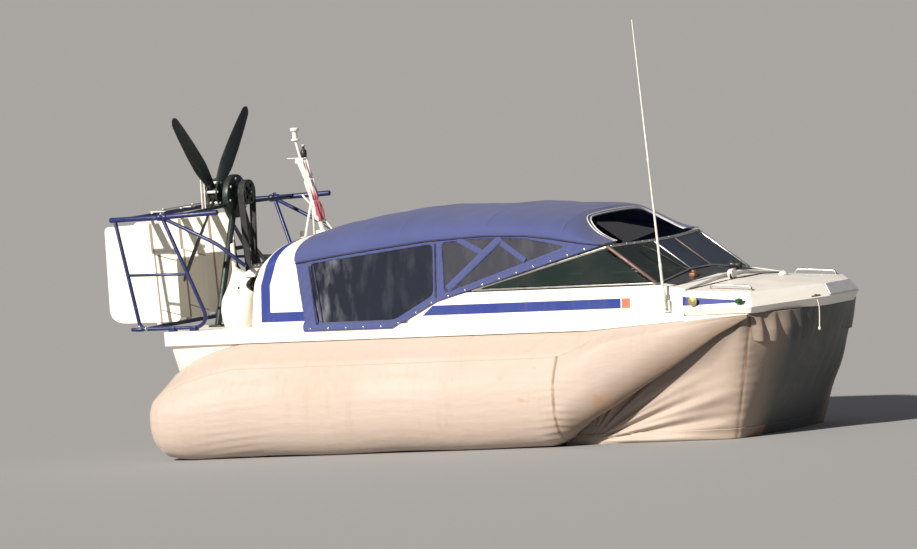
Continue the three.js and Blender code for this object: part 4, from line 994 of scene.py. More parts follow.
def metal(name, color, roughness, grain=0.0, metallic=1.0, worn=None):
    """Bare or painted metal, smudged in patches. Grain adds a fine bump, and worn is a colour that shows in specks."""
    paint = Paint(name, color, roughness, metallic)
    patch = paint.ramp(paint.noise(9.0, 4.0), 0.35, 0.7)
    shade = paint.mix(patch * 0.5, color, tuple(c * 0.72 for c in color))
    if worn:
        shade = paint.mix(paint.ramp(paint.noise(34.0, 5.0), 0.66, 0.72), shade, worn)
    paint.set(Base_Color=shade)
    paint.mottle(22.0, roughness * 0.8, min(1.0, roughness * 1.3))
    if grain:
        paint.bump(paint.noise(150.0, 2.0), grain, 0.002)
    return paint.material


ALUMINIUM = metal("bare_aluminium", (0.62, 0.62, 0.60), 0.34)
PIPING = metal("white_piping", (0.74, 0.74, 0.72), 0.5, metallic=0.0)
# Dark navy for the eave cord, which also paints the shadow line under the roof's edge.
EAVE_CORD_AND_SHADOW = metal("eave_cord_painted_shadow", (0.016, 0.018, 0.050), 0.6, metallic=0.0)


def roof_height(x, y):
    """Height of the roof's outer face over a point, from the same arches as the roof."""
    eave, crown, half = roof_section(x)
    share = np.clip(1 - (np.abs(y) / half) ** ARCH_POWER, 0, 1)
    return eave + (crown - eave) * share ** (1 / ARCH_POWER)


def dress_canopy():
    """Piping round the opening in two turns, flat seams over the hoops, the hoops themselves, and the hem at the aft
    edge. The hoops are bare tubes under the cloth, bent to its arch."""
    edge = hatch_edge(260)
    inner = edge + (edge - (1.60, 0.0)) * (0.055, 0.055)
    parts = []
    for line in (edge, inner):
        z = roof_height(line[:, 0], line[:, 1]) + roof_sag(line[:, 0])
        path = np.column_stack([line, z + 0.006])
        parts.append(tube(path[1:-1], 0.0055, sides=8))
    assembled("hatch_piping", parts, PIPING)
    # A dark navy cord along each eave, partly a real cord and partly a painted shadow line between roof and curtains.
    eaves = []
    for side in (-1, 1):
        x = np.linspace(-1.328, 1.500, 90)
        eave = np.interp(x, ROOF_ROWS[:, 0], ROOF_ROWS[:, 1])
        eaves.append(tube(np.column_stack([x, side * (side_y(eave) + 0.006), eave - 0.004]), 0.0065, sides=8))
    assembled("canopy_eave_cord_and_shadow", eaves, EAVE_CORD_AND_SHADOW)
    share = np.linspace(0.004, 0.996, 120)
    bands = []
    for x in (*HOOPS_X[1:], -1.322):
        strip = roof_points(np.array([x - 0.017, x - 0.012, x + 0.012, x + 0.017]), share)
        strip[..., 2] += np.array([0.001, 0.0045, 0.0045, 0.001])[:, None] * 1.2
        bands.append((strip.reshape(-1, 3), grid_faces(4, 120)))
    new_piece("canopy_seams", *merged(bands), CANVAS, slot="blue_canvas")
    hoops = []
    for x in HOOPS_X[:-1]:
        arch = roof_points(np.full(1, x), np.linspace(0.02, 0.98, 60))[0]
        arch = np.concatenate([[arch[0] - (0, 0, 0.35)], arch, [arch[-1] - (0, 0, 0.35)]])
        hoops.append(tube(arch * (1, 0.975, 1) - (0, 0, 0.030), 0.012))
    assembled("canopy_hoops", hoops, ALUMINIUM)


dress_canopy()

# Side curtains. Blue canvas panels that carry the clear vinyl windows, zipped and snapped to the roof and the coaming.
# Cut flat, sewn with doubled hems, and held by small domed snaps.
CURTAIN_OUTLINE = [(-1.245, 1.033), (-0.418, 1.033), (-0.020, 1.235), (1.500, 1.640)]
AFT_PANE = [(-1.125, 1.100), (-0.415, 1.100), (-0.050, 1.290), (-0.045, 1.712), (-1.195, 1.588)]
PRISM_FACES = np.array([(0, 1, 2, 3), (4, 5, 6, 7), (0, 1, 5, 4), (1, 2, 6, 5), (2, 3, 7, 6), (3, 0, 4, 7)])
FORE_PANE = [(0.055, 1.300), (0.040, 1.722), (0.380, 1.742), (0.800, 1.728), (1.190, 1.648)]


def inside(points, polygon):
    """Which of the (n, 2) points lie in a polygon, by how often a line from each crosses its edges."""
    x, y = points.T
    odd = np.zeros(len(points), bool)
    for (ax, ay), (bx, by) in zip(polygon, np.roll(polygon, -1, 0)):
        crosses = (ay > y) != (by > y)
        odd ^= crosses & (x < ax + (y - ay) * (bx - ax) / (by - ay if by != ay else 1e-12))
    return odd


def cut_cloth(outline, holes=(), step=0.014):
    """Points and triangles of a flat panel with holes, filled with a grid of points so that it can crease."""
    outline = np.asarray(outline, float)
    loops = [outline] + [np.asarray(hole, float) for hole in holes]
    fine = []
    for loop in loops:
        ahead = np.roll(loop, -1, 0)
        count = [max(1, int(np.linalg.norm(b - a) / step)) for a, b in zip(loop, ahead)]
        fine.append(np.concatenate([a + (b - a) * np.arange(n)[:, None] / n for a, b, n in zip(loop, ahead, count)]))
    low, high = outline.min(0), outline.max(0)
    x, y = np.meshgrid(np.arange(low[0], high[0], step), np.arange(low[1], high[1], step))
    grid = np.column_stack([x.ravel(), y.ravel()])
    rim = np.concatenate(fine)
    keep = inside(grid, fine[0])
    for hole in fine[1:]:
        keep &= ~inside(grid, hole)
    grid = grid[keep]
    grid = grid[((grid[:, None] - rim[None]) ** 2).sum(-1).min(1) > (step * 0.45) ** 2]
    points = np.concatenate([rim, grid])
    starts = np.cumsum([0] + [len(loop) for loop in fine[:-1]])
    edges = [(s + i, s + (i + 1) % len(loop)) for s, loop in zip(starts, fine) for i in range(len(loop))]
    flat, _, faces, *_ = delaunay_2d_cdt([Vector(p) for p in points], edges, [], 0, 1e-6)
    flat, faces = np.array([tuple(p) for p in flat]), np.array(faces)
    centre = flat[faces].mean(1)
    keep = inside(centre, fine[0])
    for hole in fine[1:]:
        keep &= ~inside(centre, hole)
    return flat, faces[keep]


def curved_pane(corners, bend=0.05):
    """A pane's outline with its corners rounded."""
    corners = np.asarray(corners, float)
    ring = np.concatenate([corners[-1:], corners, corners[:1]])
    return rounded(ring, bend)[1:-1]


def on_side(side, flat, push=0.0):
    """Stands flat (x, z) points on the leaning side plane, pushed outwards, and laps them over the deck's edge."""
    y = side_y(flat[:, 1]) + 0.044 * eased((1.098 - flat[:, 1]) / 0.022) + push
    return np.column_stack([flat[:, 0], side * y, flat[:, 1]])


def edge_distance(flat, loops):
    """Distance of every point from the nearest straight stretch of the loops."""
    best = np.full(len(flat), 9.0)
    for loop in loops:
        for a, b in zip(loop, np.roll(loop, -1, 0)):
            run = b - a
            share = np.clip(((flat - a) @ run) / max(run @ run, 1e-12), 0, 1)
            best = np.minimum(best, np.linalg.norm(flat - a - share[:, None] * run, axis=1))
    return best


def vinyl_paint(name, tint, milk_x):
    """Clear vinyl gone smoky: it lets little light through, and turns milky in streaks where it creases, aft of
    milk_x."""
    paint = Paint(name, tint, 0.16)
    x = paint.axes()[0]
    streaks = paint.ramp(paint.noise(3.4, 5.0, stretch=(2.4, 1.0, 0.8)), 0.50, 0.74)
    haze = streaks * paint.ramp(x, milk_x, milk_x - 0.42, 0.10, 0.62)
    paint.set(Base_Color=paint.mix(haze, tint, (0.42, 0.43, 0.50)))
    paint.mottle(6.0, 0.08, 0.24)
    thin = paint.ramp(haze, 0.0, 0.35, 0.42, 0.12)
    paint.bump(paint.noise(5.0, 3.0, stretch=(2.2, 1.0, 0.6)), 0.35, 0.02)
    paint.set(Transmission_Weight=thin, IOR=1.12)
    return paint.material


VINYL_AFT = vinyl_paint("aft_vinyl", (0.034, 0.040, 0.060), -0.70)
VINYL_FORE = vinyl_paint("fore_vinyl", (0.085, 0.088, 0.112), 0.0)
SNAP_STEEL = metal("snap_steel", (0.82, 0.81, 0.78), 0.2)
ZIP_DARK = metal("zip_tape", (0.018, 0.020, 0.060), 0.7, grain=1.0, metallic=0.0)


def domes(centres, normals, radius, height):
    """Low domes on a surface, all in one shape, each of five rings: (share of the radius, share of the height)."""
    centres, normals = np.asarray(centres, float), unit(np.asarray(normals, float))
    across = unit(np.cross(normals, (0.3, 0.2, 0.93)))
    over = np.cross(normals, across)
    angle = circle(12)
    ring = np.cos(angle)[:, None] * across[:, None] + np.sin(angle)[:, None] * over[:, None]
    levels = [(1.0, -0.3), (1.0, 0.15), (0.75, 0.7), (0.35, 0.95), (0.03, 1.0)]
    rows = [centres[:, None] + ring * radius * r + normals[:, None] * height * h for r, h in levels]
    points = np.stack(rows, 1)
    one = grid_faces(len(levels), len(angle), closed_columns=True)
    faces = np.concatenate([one + i * len(levels) * len(angle) for i in range(len(centres))])
    return points.reshape(-1, 3), faces


def flat_area(flat, faces):
    """Area of a flat panel of triangles."""
    a, b, c = (flat[faces[:, k]] for k in range(3))
    return float(np.abs(np.cross(b - a, c - a)).sum() / 2)


def turn(piece, outward):
    """Flips an open panel whose faces look, on the whole, away from the outward direction."""
    normals = np.empty(len(piece.data.polygons) * 3)
    piece.data.polygons.foreach_get("normal", normals)
    if normals.reshape(-1, 3).sum(0) @ np.asarray(outward) < 0:
        piece.data.flip_normals()


def make_side(name, side):
    """Canvas puckers beside its hems and bellies a little between them; the vinyl wrinkles at its aft edge. Zips run up
    the aft column and the middle post, and snaps follow the foot."""
    eave = [(x, z) for x, z, _ in ROOF_ROWS[:-1]][::-1]
    outline = CURTAIN_OUTLINE + [(x, z + 0.004) for x, z in eave]
    panes = [curved_pane(AFT_PANE), curved_pane(FORE_PANE)]
    flat, faces = cut_cloth(outline, panes)
    gap = edge_distance(flat, [np.array(outline)] + panes)
    hem = 0.0022 * (gap < 0.02) - 0.0012 * valley(gap - 0.021, 0.004)
    pucker = 0.0022 * np.sin(flat @ (61.0, 23.0)) * np.sin(flat @ (-17.0, 71.0)) * np.clip(gap / 0.03, 0, 1)
    canvas = new_piece(f"curtain_{name}", on_side(side, flat, hem + pucker), faces, CANVAS, slot="blue_canvas", uv=flat)
    turn(canvas, (0, side, 0))
    thicken(canvas, 0.0022)
    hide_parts(f"side_curtain_{name}")

    zips = []
    for low, high in (((-1.085, 1.10), (-1.165, 1.575)), ((-1.130, 1.085), (-1.205, 1.57)),
                      ((-0.028, 1.27), (-0.024, 1.715))):
        run = (np.array([low, high])[np.array([0, 0, 1, 1])]
               + np.array([(-0.006, 0), (0.006, 0), (0.006, 0), (-0.006, 0)]))
        zips.append((np.concatenate([on_side(side, run, 0.003), on_side(side, run, 0.0065)]), PRISM_FACES))
    zip_piece = assembled(f"curtain_zips_{name}", zips, ZIP_DARK, smooth=False)
    foot = rounded([(-1.20, 1.052), (-0.405, 1.052), (-0.035, 1.246), (1.40, 1.628)], 0.02)
    spots = at_distances(foot, np.arange(0.02, walked(foot)[-1], 0.165))
    snaps = domes(on_side(side, spots, 0.0025), np.tile((0, side, 0.1), (len(spots), 1)), 0.0105, 0.006)
    snap_piece = assembled(f"curtain_snaps_{name}", [snaps], SNAP_STEEL)
    sleeves = []
    for low, high, half in (((0.085, 1.335), (0.590, 1.744), 0.031), ((0.450, 1.602), (0.190, 1.742), 0.025),
                            ((0.812, 1.545), (0.590, 1.700), 0.024)):
        run, strip = np.linspace(0, 1, 40)[:, None], np.linspace(-1, 1, 9)
        low, high = np.array(low), np.array(high)
        across = np.array([low[1] - high[1], high[0] - low[0]]) / np.linalg.norm(high - low)
        line = low + (high - low) * run
        flat_strip = line[:, None] + across * half * strip[None, :, None]
        crown = 0.002 + 0.006 * np.sqrt(np.clip(1 - strip ** 4, 0, 1))[None, :] + 0.001 * np.sin(run * 44)
        sleeves.append((on_side(side, flat_strip.reshape(-1, 2), crown.ravel()), grid_faces(40, 9)))
    sleeve_piece = new_piece(f"curtain_sleeves_{name}", *merged(sleeves), CANVAS, slot="blue_canvas")
    turn(sleeve_piece, (0, side, 0))
    flat_area(flat, faces)

    for pane, node, size in ((panes[0], f"aft_window_{name}", (1.16, 0.62)),
                             (panes[1], f"fore_window_{name}", (1.16, 0.45))):
        flat, faces = cut_cloth(pane, step=0.016)
        aft = np.clip(1 - (flat[:, 0] - flat[:, 0].min()) / 0.35, 0, 1)
        wave = 0.0016 * np.sin(flat @ (19.0, 7.0)) * np.sin(flat @ (4.0, 17.0))
        crease = 0.0035 * aft * np.sin(flat @ (95.0, 21.0) + 2.5 * np.sin(flat @ (0.0, 11.0)))
        sheet = new_piece(f"vinyl_{node}", on_side(side, flat, -0.002 + wave + crease), faces,
                          VINYL_AFT if "aft" in node else VINYL_FORE, slot="clear_vinyl", uv=flat)
        turn(sheet, (0, side, 0))
        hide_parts(node)
        flat_area(flat, faces)


for name, side in SIDES:
    make_side(name, side)

# Windshield. Bare aluminium tube frame, screwed to the trunk and coamings, round flat tinted panes with rubber edges.
WINDSHIELD_TOP = [(1.560, -0.850, 1.630), (1.650, -0.190, 1.626), (1.650, 0.190, 1.626), (1.560, 0.850, 1.630)]
WINDSHIELD_FOOT = [(2.000, -0.862, 1.309), (1.986, -0.190, 1.382), (1.986, 0.190, 1.382), (2.000, 0.862, 1.309)]
SIDE_CORNERS = [(0.300, 1.318), (1.540, 1.625), (1.985, 1.318)]
# Dark brown for two windshield posts: painted shade on bare aluminium.
POST_PAINTED_SHADE = metal("post_painted_shade", (0.17, 0.115, 0.095), 0.45, metallic=0.3, worn=(0.34, 0.28, 0.24))


def glass_paint(name, tint):
    """Tinted sheet, dusty in patches."""
    paint = Paint(name, tint, 0.03)
    paint.set(Base_Color=paint.mix(paint.ramp(paint.noise(2.6, 4.0), 0.4, 0.75, 0.0, 0.25), tint, (0.30, 0.30, 0.30)))
    paint.set(Roughness=paint.ramp(paint.noise(5.0, 3.0), 0.4, 0.7, 0.02, 0.10))
    paint.set(Transmission_Weight=0.72, IOR=1.2)
    return paint.material


def make_windshield():
    """Posts, rails and side triangles as tubes on the CAD frame's own corners."""
    posts = [tube([a, b], r) for a, b, r in zip(WINDSHIELD_FOOT, WINDSHIELD_TOP, (0.016, 0.008, 0.008, 0.012))]
    # The starboard corner post and the port centre post are dark brown, painted shade on their aluminium.
    assembled("windshield_posts", posts[::2], POST_PAINTED_SHADE, slot="bare_aluminium")
    parts = posts[1::2] + [tube(WINDSHIELD_TOP, 0.014, bend=0.03), tube(WINDSHIELD_FOOT, 0.009, bend=0.03)]
    for side, top, foot in ((-1, WINDSHIELD_TOP[0], WINDSHIELD_FOOT[0]), (1, WINDSHIELD_TOP[3], WINDSHIELD_FOOT[3])):
        aft, up, fore = [(x, side * (side_y(z) - 0.0234), z) for x, z in SIDE_CORNERS]
        parts += [tube([top, up, aft], 0.013, bend=0.04), tube([foot, fore, aft], 0.008, bend=0.03)]
    frame_piece = assembled("windshield_tubes", parts, ALUMINIUM, slot="bare_aluminium")
    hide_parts("windshield_frame")
    rail = rounded(WINDSHIELD_TOP, 0.03)
    spots = at_distances(rail, np.arange(0.04, walked(rail)[-1], 0.115))
    facing = np.tile((0.75, 0, 0.65), (len(spots), 1))
    assembled("windshield_snaps", [domes(spots + (0.011, 0, 0.008), facing, 0.008, 0.005)], SNAP_STEEL)
    green, blue = glass_paint("green_glass", (0.055, 0.085, 0.080)), glass_paint("blue_glass", (0.070, 0.115, 0.200))
    for node in ("windshield_pane_starboard", "windshield_pane_centre", "windshield_pane_port",
                 "side_glass_starboard", "side_glass_port"):
        finish_node(node, blue if node in ("windshield_pane_centre", "windshield_pane_port") else green)


make_windshield()

# Guard. Tubes painted navy blue, welded into a leaning frame each side, with the beams that carry the rudders. Chipped
# and sun-bleached, with clamps where the tubes cross.
SHAFT_Z = 2.150
DECK_TOP_Z = 1.0704
GUARD_RAIL = [(-2.965, 2.024), (-2.480, 2.034), (-1.960, 2.056)]


def guard_y(z):
    """|y| of the leaning guard at a height."""
    return 0.935 + 0.100 * (np.asarray(z) - 1.110)


def on_guard(side, flat):
    flat = np.asarray(flat, float)
    return np.column_stack([flat[:, 0], side * guard_y(flat[:, 1]), flat[:, 1]])


GUARD_BLUE = metal("guard_blue", (0.016, 0.024, 0.115), 0.38, metallic=0.0, worn=(0.08, 0.11, 0.30))


def make_guard(name, side):
    """The same lines as the CAD guard, bent at their corners, with clamps round the rail's joint."""
    frame_line = [(-2.925, 2.020), (-2.800, 1.098), (-2.235, 1.098), (-2.165, 1.180), (-2.480, 2.030)]
    lines = [(GUARD_RAIL, 0.022), (frame_line, 0.016), ([(-2.880, 1.098), (-2.780, 1.098)], 0.016),
             ([(-2.862, 1.555), (-2.316, 1.548)], 0.012),
             ([(-2.480, 2.030), (-1.990, 1.790), (-1.755, 1.600)], 0.016)]
    parts = [tube(on_guard(side, line), radius, bend=0.07) for line, radius in lines]
    for x in (-2.505, -2.455):
        parts.append(tube(on_guard(side, [(x - 0.014, 2.033), (x + 0.014, 2.034)]), 0.031, sides=18))
    for x in (-2.500, -2.300):
        parts.append(block((x - 0.03, side * 0.93 - 0.03, DECK_TOP_Z), (x + 0.03, side * 0.93 + 0.03, 1.112)))
    guard = assembled(f"guard_{name}", parts, GUARD_BLUE, slot="guard_blue", bevel=0.003)
    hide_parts(f"guard_side_{name}")
    bolts = on_guard(side, [(-2.800, 1.120), (-2.745, 1.098), (-2.480, 2.062)])
    assembled(f"guard_bolts_{name}", [domes(bolts, np.tile((-0.2, side, 0.5), (3, 1)), 0.018, 0.022)], SNAP_STEEL)


for name, side in SIDES:
    make_guard(name, side)
for node in ("rudder_beam_upper", "rudder_beam_lower"):
    finish_node(node, GUARD_BLUE, 0.004)

# Rudders. Three white foam-cored plates with rounded corners, each on a stock, joined by a tie bar on their horns. A
# dark joint runs down each where the moving blade meets its fixed nose.
RUDDER_CREAM = (0.88, 0.845, 0.74)


def rudder_paint():
    """Cream white, with thin dark joints: one that leans down the blade and two that run forward from it."""
    paint = Paint("rudder_white", RUDDER_CREAM, 0.38)
    x, y, z = paint.axes()
    lean = x - (1.958 - z) * 0.045
    upper = paint.between(lean, -2.862, -2.834) * (z > 1.700)
    lower = paint.between(lean, -2.842, -2.826) * (z < 1.700)
    ahead = lean > -2.84
    fall = z + (x + 2.83) * 0.30
    across = paint.math("MAXIMUM", paint.between(fall, 1.692, 1.702), paint.between(fall, 1.236, 1.244))
    joint = paint.math("MAXIMUM", paint.math("MAXIMUM", upper, lower), across * ahead)
    color = paint.mix(joint, RUDDER_CREAM, (0.30, 0.235, 0.19))
    paint.set(Base_Color=weathered(paint, color, 0.2))
    paint.mottle(5.0, 0.30, 0.46)
    paint.bump(paint.noise(3.0, 2.0) * 0.6 - joint, 0.4, 0.006)
    return paint.material


RUDDER_WHITE = rudder_paint()
for node in ("rudder_starboard", "rudder_centre", "rudder_port"):
    finish_node(node, RUDDER_WHITE, 0.0025)
finish_node("rudder_tie_bar", ALUMINIUM, 0.002)

# Propeller and its tower. Four black composite blades clamped between square aluminium plates and bolted through to a
# flange; dark steel legs with a round head plate, and a belt down to the engine.
PROP_X = -2.500
LEG_X = -2.297
BLADE_TABLE = np.array([
    # distance from the hub's centre, chord, thickness, pitch angle in degrees
    (0.045, 0.050, 0.040, 42), (0.150, 0.084, 0.034, 40), (0.330, 0.128, 0.022, 30), (0.560, 0.128, 0.015, 22),
    (0.780, 0.108, 0.011, 17), (0.915, 0.084, 0.008, 14), (0.952, 0.046, 0.005, 13), (0.960, 0.012, 0.002, 13),
])
HUB_ALUMINIUM = metal("hub_aluminium", (0.86, 0.83, 0.80), 0.45, metallic=0.35)
BOLT_STEEL = metal("bolt_steel", (0.90, 0.88, 0.83), 0.35, metallic=0.3)
BLADE_BLACK = metal("blade_black", (0.020, 0.028, 0.030), 0.4, metallic=0.0, worn=(0.05, 0.06, 0.06))
DARK_STEEL = metal("dark_steel", (0.024, 0.036, 0.034), 0.42, grain=0.25, metallic=0.3, worn=(0.12, 0.08, 0.05))


def blade(turn_degrees):
    """Stations along the blade carry a cambered section, turned to the station's pitch, and the whole is turned about
    the shaft."""
    reach = np.concatenate([np.linspace(0.045, 0.90, 44), np.linspace(0.905, 0.960, 12)])
    chord, thick, pitch = [column[:, None] for column in columns_at(BLADE_TABLE, reach, 5)]
    pitch = np.radians(pitch)
    angle = circle(28)
    along = 0.5 * np.cos(angle)
    over = 0.5 * np.sin(angle) * np.sqrt(np.clip(0.55 - 0.45 * np.cos(angle), 0.05, 1)) + 0.18 * (1 - 4 * along ** 2)
    x = chord * along * np.sin(pitch) + thick * over * np.cos(pitch)
    y = chord * along * np.cos(pitch) - thick * over * np.sin(pitch)
    z = np.broadcast_to(reach[:, None], x.shape)
    t = math.radians(turn_degrees)
    points = np.stack([x + PROP_X, y * math.cos(t) - z * math.sin(t), y * math.sin(t) + z * math.cos(t) + SHAFT_Z], -1)
    ends = np.stack([np.broadcast_to(points[i].mean(0), points[i].shape) for i in (0, -1)])
    points = np.concatenate([ends[:1], points, ends[1:]])
    return points.reshape(-1, 3), grid_faces(*points.shape[:2], closed_columns=True)


def make_propeller():
    """Blades, drum, flange, boss and collar in black; the two plates and the bolts bright."""
    hub, forward = (PROP_X, 0.0, SHAFT_Z), (1, 0, 0)
    drum = [(-0.030, 0.001), (-0.030, 0.070), (-0.026, 0.074), (0.041, 0.074), (0.045, 0.070), (0.045, 0.001)]
    flange = [(0.056, 0.001), (0.056, 0.108), (0.060, 0.112), (0.067, 0.112), (0.070, 0.108), (0.070, 0.001)]
    boss = [(-0.095, 0.001), (-0.095, 0.036), (-0.086, 0.046), (-0.072, 0.046)]
    collar = [(0.045, 0.046), (0.060, 0.046)]
    black = [blade(degrees) for degrees in (45, 135, 225, 315)]
    black += [turned(profile, hub, forward) for profile in (drum, flange, boss, collar)]
    piece = assembled("propeller_blades", black, BLADE_BLACK, body="propeller_group", slot="blade_black")
    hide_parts("propeller")
    half = 0.126
    plates = [block((PROP_X + x, -half, SHAFT_Z - half), (PROP_X + x + 0.010, half, SHAFT_Z + half))
              for x in (-0.072, -0.042)]
    assembled("propeller_plates", plates, HUB_ALUMINIUM, body="propeller_group", slot="blade_black", bevel=0.0015,
              smooth=False)
    bolt = [(-0.080, 0.001), (-0.080, 0.013), (-0.072, 0.015), (-0.072, 0.0085), (-0.02, 0.0085), (-0.02, 0.0125),
            (0.054, 0.0125), (0.056, 0.009), (0.078, 0.009), (0.080, 0.001)]
    bolts = []
    for angle in np.radians(np.arange(12, 360, 60)):
        place = (PROP_X, -0.098 * math.cos(angle), SHAFT_Z + 0.098 * math.sin(angle))
        bolts.append(turned(bolt, place, forward, sides=12))
    assembled("propeller_bolts", bolts, BOLT_STEEL, body="propeller_group", slot="blade_black")


make_propeller()


def make_tower():
    """Legs and braces as tubes on foot plates, a round head plate ringed with bolts, and the bearing through it."""
    parts = []
    for side in (-1, 1):
        parts += [tube([(LEG_X, side * 0.500, 1.084), (LEG_X, side * 0.055, 2.070)], 0.028),
                  tube([(LEG_X, side * 0.225, 1.692), (-1.900, side * 0.390, 1.084)], 0.017),
                  tube([(-2.320, side * 0.120, 2.060), (-2.320, side * 1.004, 2.041)], 0.014)]
        parts += [block((LEG_X - 0.06, side * 0.5 - 0.06, DECK_TOP_Z), (LEG_X + 0.06, side * 0.5 + 0.06, 1.086)),
                  block((-1.94, side * 0.39 - 0.04, DECK_TOP_Z), (-1.86, side * 0.39 + 0.04, 1.086))]
    parts.append(tube([(LEG_X, -0.225, 1.692), (LEG_X, 0.225, 1.692)], 0.017))
    rim = [(0.0, 0.023), (0.0, 0.176), (0.005, 0.182), (0.050, 0.182), (0.055, 0.176), (0.055, 0.023)]
    parts.append(turned(rim, (-2.345, 0, 2.125), (1, 0, 0), sides=64))
    bearing = [(0.0, 0.023), (0.0, 0.050), (0.006, 0.058), (0.030, 0.060), (0.036, 0.066), (0.107, 0.066),
               (0.113, 0.060),
               (0.137, 0.058), (0.143, 0.050), (0.143, 0.023)]
    parts.append(turned(bearing, (-2.405, 0, SHAFT_Z), (1, 0, 0)))
    tower = assembled("tower", parts, DARK_STEEL, slot="dark_steel", bevel=0.002)
    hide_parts("propeller_tower")
    angle = np.radians(np.arange(0, 360, 45.0) + 10)
    ring = np.stack([np.zeros(8), 0.150 * np.cos(angle), 0.150 * np.sin(angle)], -1)
    heads = np.concatenate([ring + (-2.345, 0, 2.125), ring + (-2.290, 0, 2.125)])
    facing = np.repeat([(-1.0, 0, 0), (1.0, 0, 0)], 8, 0)
    assembled("tower_bolts", [domes(heads, facing, 0.012, 0.012)], BOLT_STEEL)


make_tower()

# Shaft drive and engine. A steel shaft with a drilled pulley, a toothed rubber belt down to the crank pulley, and a
# marine engine on rubber feet between the scoops, with its covers, air cleaner, pipes and hoses.
BELT_RUBBER = metal("belt_rubber", (0.022, 0.022, 0.024), 0.7, grain=0.5, metallic=0.0)
ENGINE_GREY = metal("engine_grey", (0.075, 0.080, 0.082), 0.5, grain=0.3, metallic=0.2, worn=(0.16, 0.10, 0.06))
HOSE_BLACK = metal("hose_rubber", (0.030, 0.030, 0.031), 0.6, metallic=0.0)
for node, paint, width in (("propeller_shaft", DARK_STEEL, 0.002), ("crank_pulley", DARK_STEEL, 0.002),
                           ("drive_belt", BELT_RUBBER, 0.002), ("engine_block", ENGINE_GREY, 0.012)):
    finish_node(node, paint, width)


def make_engine_fittings():
    """Ribbed covers, a round air cleaner, four exhaust branches each side into one pipe, and two water hoses."""
    covers = []
    for side in (-1, 1):
        covers.append(block((-2.110, side * 0.185 - 0.040, 1.500), (-1.830, side * 0.185 + 0.040, 1.548)))
        covers += [block((-2.100 + 0.034 * i, side * 0.185 - 0.034, 1.546),
                         (-2.088 + 0.034 * i, side * 0.185 + 0.034, 1.556))
                   for i in range(8)]
    assembled("engine_covers", covers, ALUMINIUM, slot="bare_aluminium", bevel=0.003)
    drum = [(0.0, 0.002), (0.0, 0.118), (0.006, 0.126), (0.012, 0.120), (0.046, 0.120), (0.052, 0.127), (0.060, 0.116),
            (0.064, 0.030), (0.074, 0.012), (0.075, 0.001)]
    assembled("engine_air_cleaner", [turned(drum, (-1.965, 0.0, 1.561), (0, 0, 1), sides=48)], DARK_STEEL)
    pipes = []
    for side in (-1, 1):
        for x in (-2.090, -2.010, -1.930, -1.850):
            pipes.append(tube([(x, side * 0.224, 1.400), (x, side * 0.275, 1.390), (x - 0.01, side * 0.300, 1.300)],
                              0.016, bend=0.05))
        pipes.append(tube([(-1.830, side * 0.302, 1.295), (-2.110, side * 0.302, 1.265), (-2.180, side * 0.302, 1.200),
                           (-2.180, side * 0.302, 1.110)], 0.024, bend=0.08))
    assembled("engine_exhaust", pipes, ENGINE_GREY)
    hoses = [tube([(-1.830, -0.100, 1.520), (-1.790, -0.140, 1.500), (-1.795, -0.300, 1.300), (-1.800, -0.330, 1.085)],
                  0.015, bend=0.09),
             tube([(-1.830, 0.100, 1.480), (-1.795, 0.150, 1.450), (-1.800, 0.300, 1.260), (-1.800, 0.330, 1.085)],
                  0.018, bend=0.09)]
    assembled("engine_hoses", hoses, HOSE_BLACK)


make_engine_fittings()

# Lift fan in the back of the cowl: a cast fan behind a wire guard, both screwed on.
FAN_WHITE = metal("fan_plastic", (0.55, 0.55, 0.52), 0.5, metallic=0.0)
finish_node("lift_fan", FAN_WHITE, 0.002)
finish_node("fan_grille", DARK_STEEL)

# Air scoops. Two pear-shaped white mouldings either side of the engine, standing on the deck, with a mouth towards
# the cowl under a domed hood, painted black inside as shade, and a thin vent pipe that rises from each neck.
SCOOP_CREAM = (0.84, 0.81, 0.73)
SCOOP_ROWS = np.array([
    # z, centre x, half length, half width
    (1.0708, -2.010, 0.120, 0.126), (1.120, -2.008, 0.136, 0.143), (1.210, -2.004, 0.150, 0.150),
    (1.300, -1.992, 0.152, 0.142),
    (1.370, -1.962, 0.146, 0.127), (1.430, -1.942, 0.134, 0.113), (1.475, -1.944, 0.116, 0.098),
    (1.505, -1.965, 0.088, 0.078),
    (1.528, -1.996, 0.052, 0.056), (1.550, -2.020, 0.026, 0.032), (1.570, -2.034, 0.018, 0.018),
])
SCOOP_Y = 0.640
SCOOP_POWER = 2.8
MOUTH = np.array([-1.800, SCOOP_Y, 1.420])
MOUTH_REACH = np.array([0.140, 0.130, 0.072])


def scoop_paint():
    """White plastic, with painted shade in black within the mouth's ellipsoid, where the surface was pushed in."""
    paint = Paint("scoop_white", SCOOP_CREAM, 0.36)
    x, y, z = paint.axes()
    away = [(value - float(at)) / float(reach) for value, at, reach in zip((x, abs(y), z), MOUTH, MOUTH_REACH)]
    far = away[0] * away[0] + away[1] * away[1] + away[2] * away[2]
    # Painted shade: black inside the mouth's shallow pocket, as in a deep opening.
    hole = paint.ramp(far, 1.06, 1.03)
    paint.set(Base_Color=weathered(paint, paint.mix(hole, SCOOP_CREAM, (0.012, 0.012, 0.012)), 0.4))
    paint.mottle(7.0, 0.28, 0.45)
    return paint.material


SCOOP_WHITE = scoop_paint()


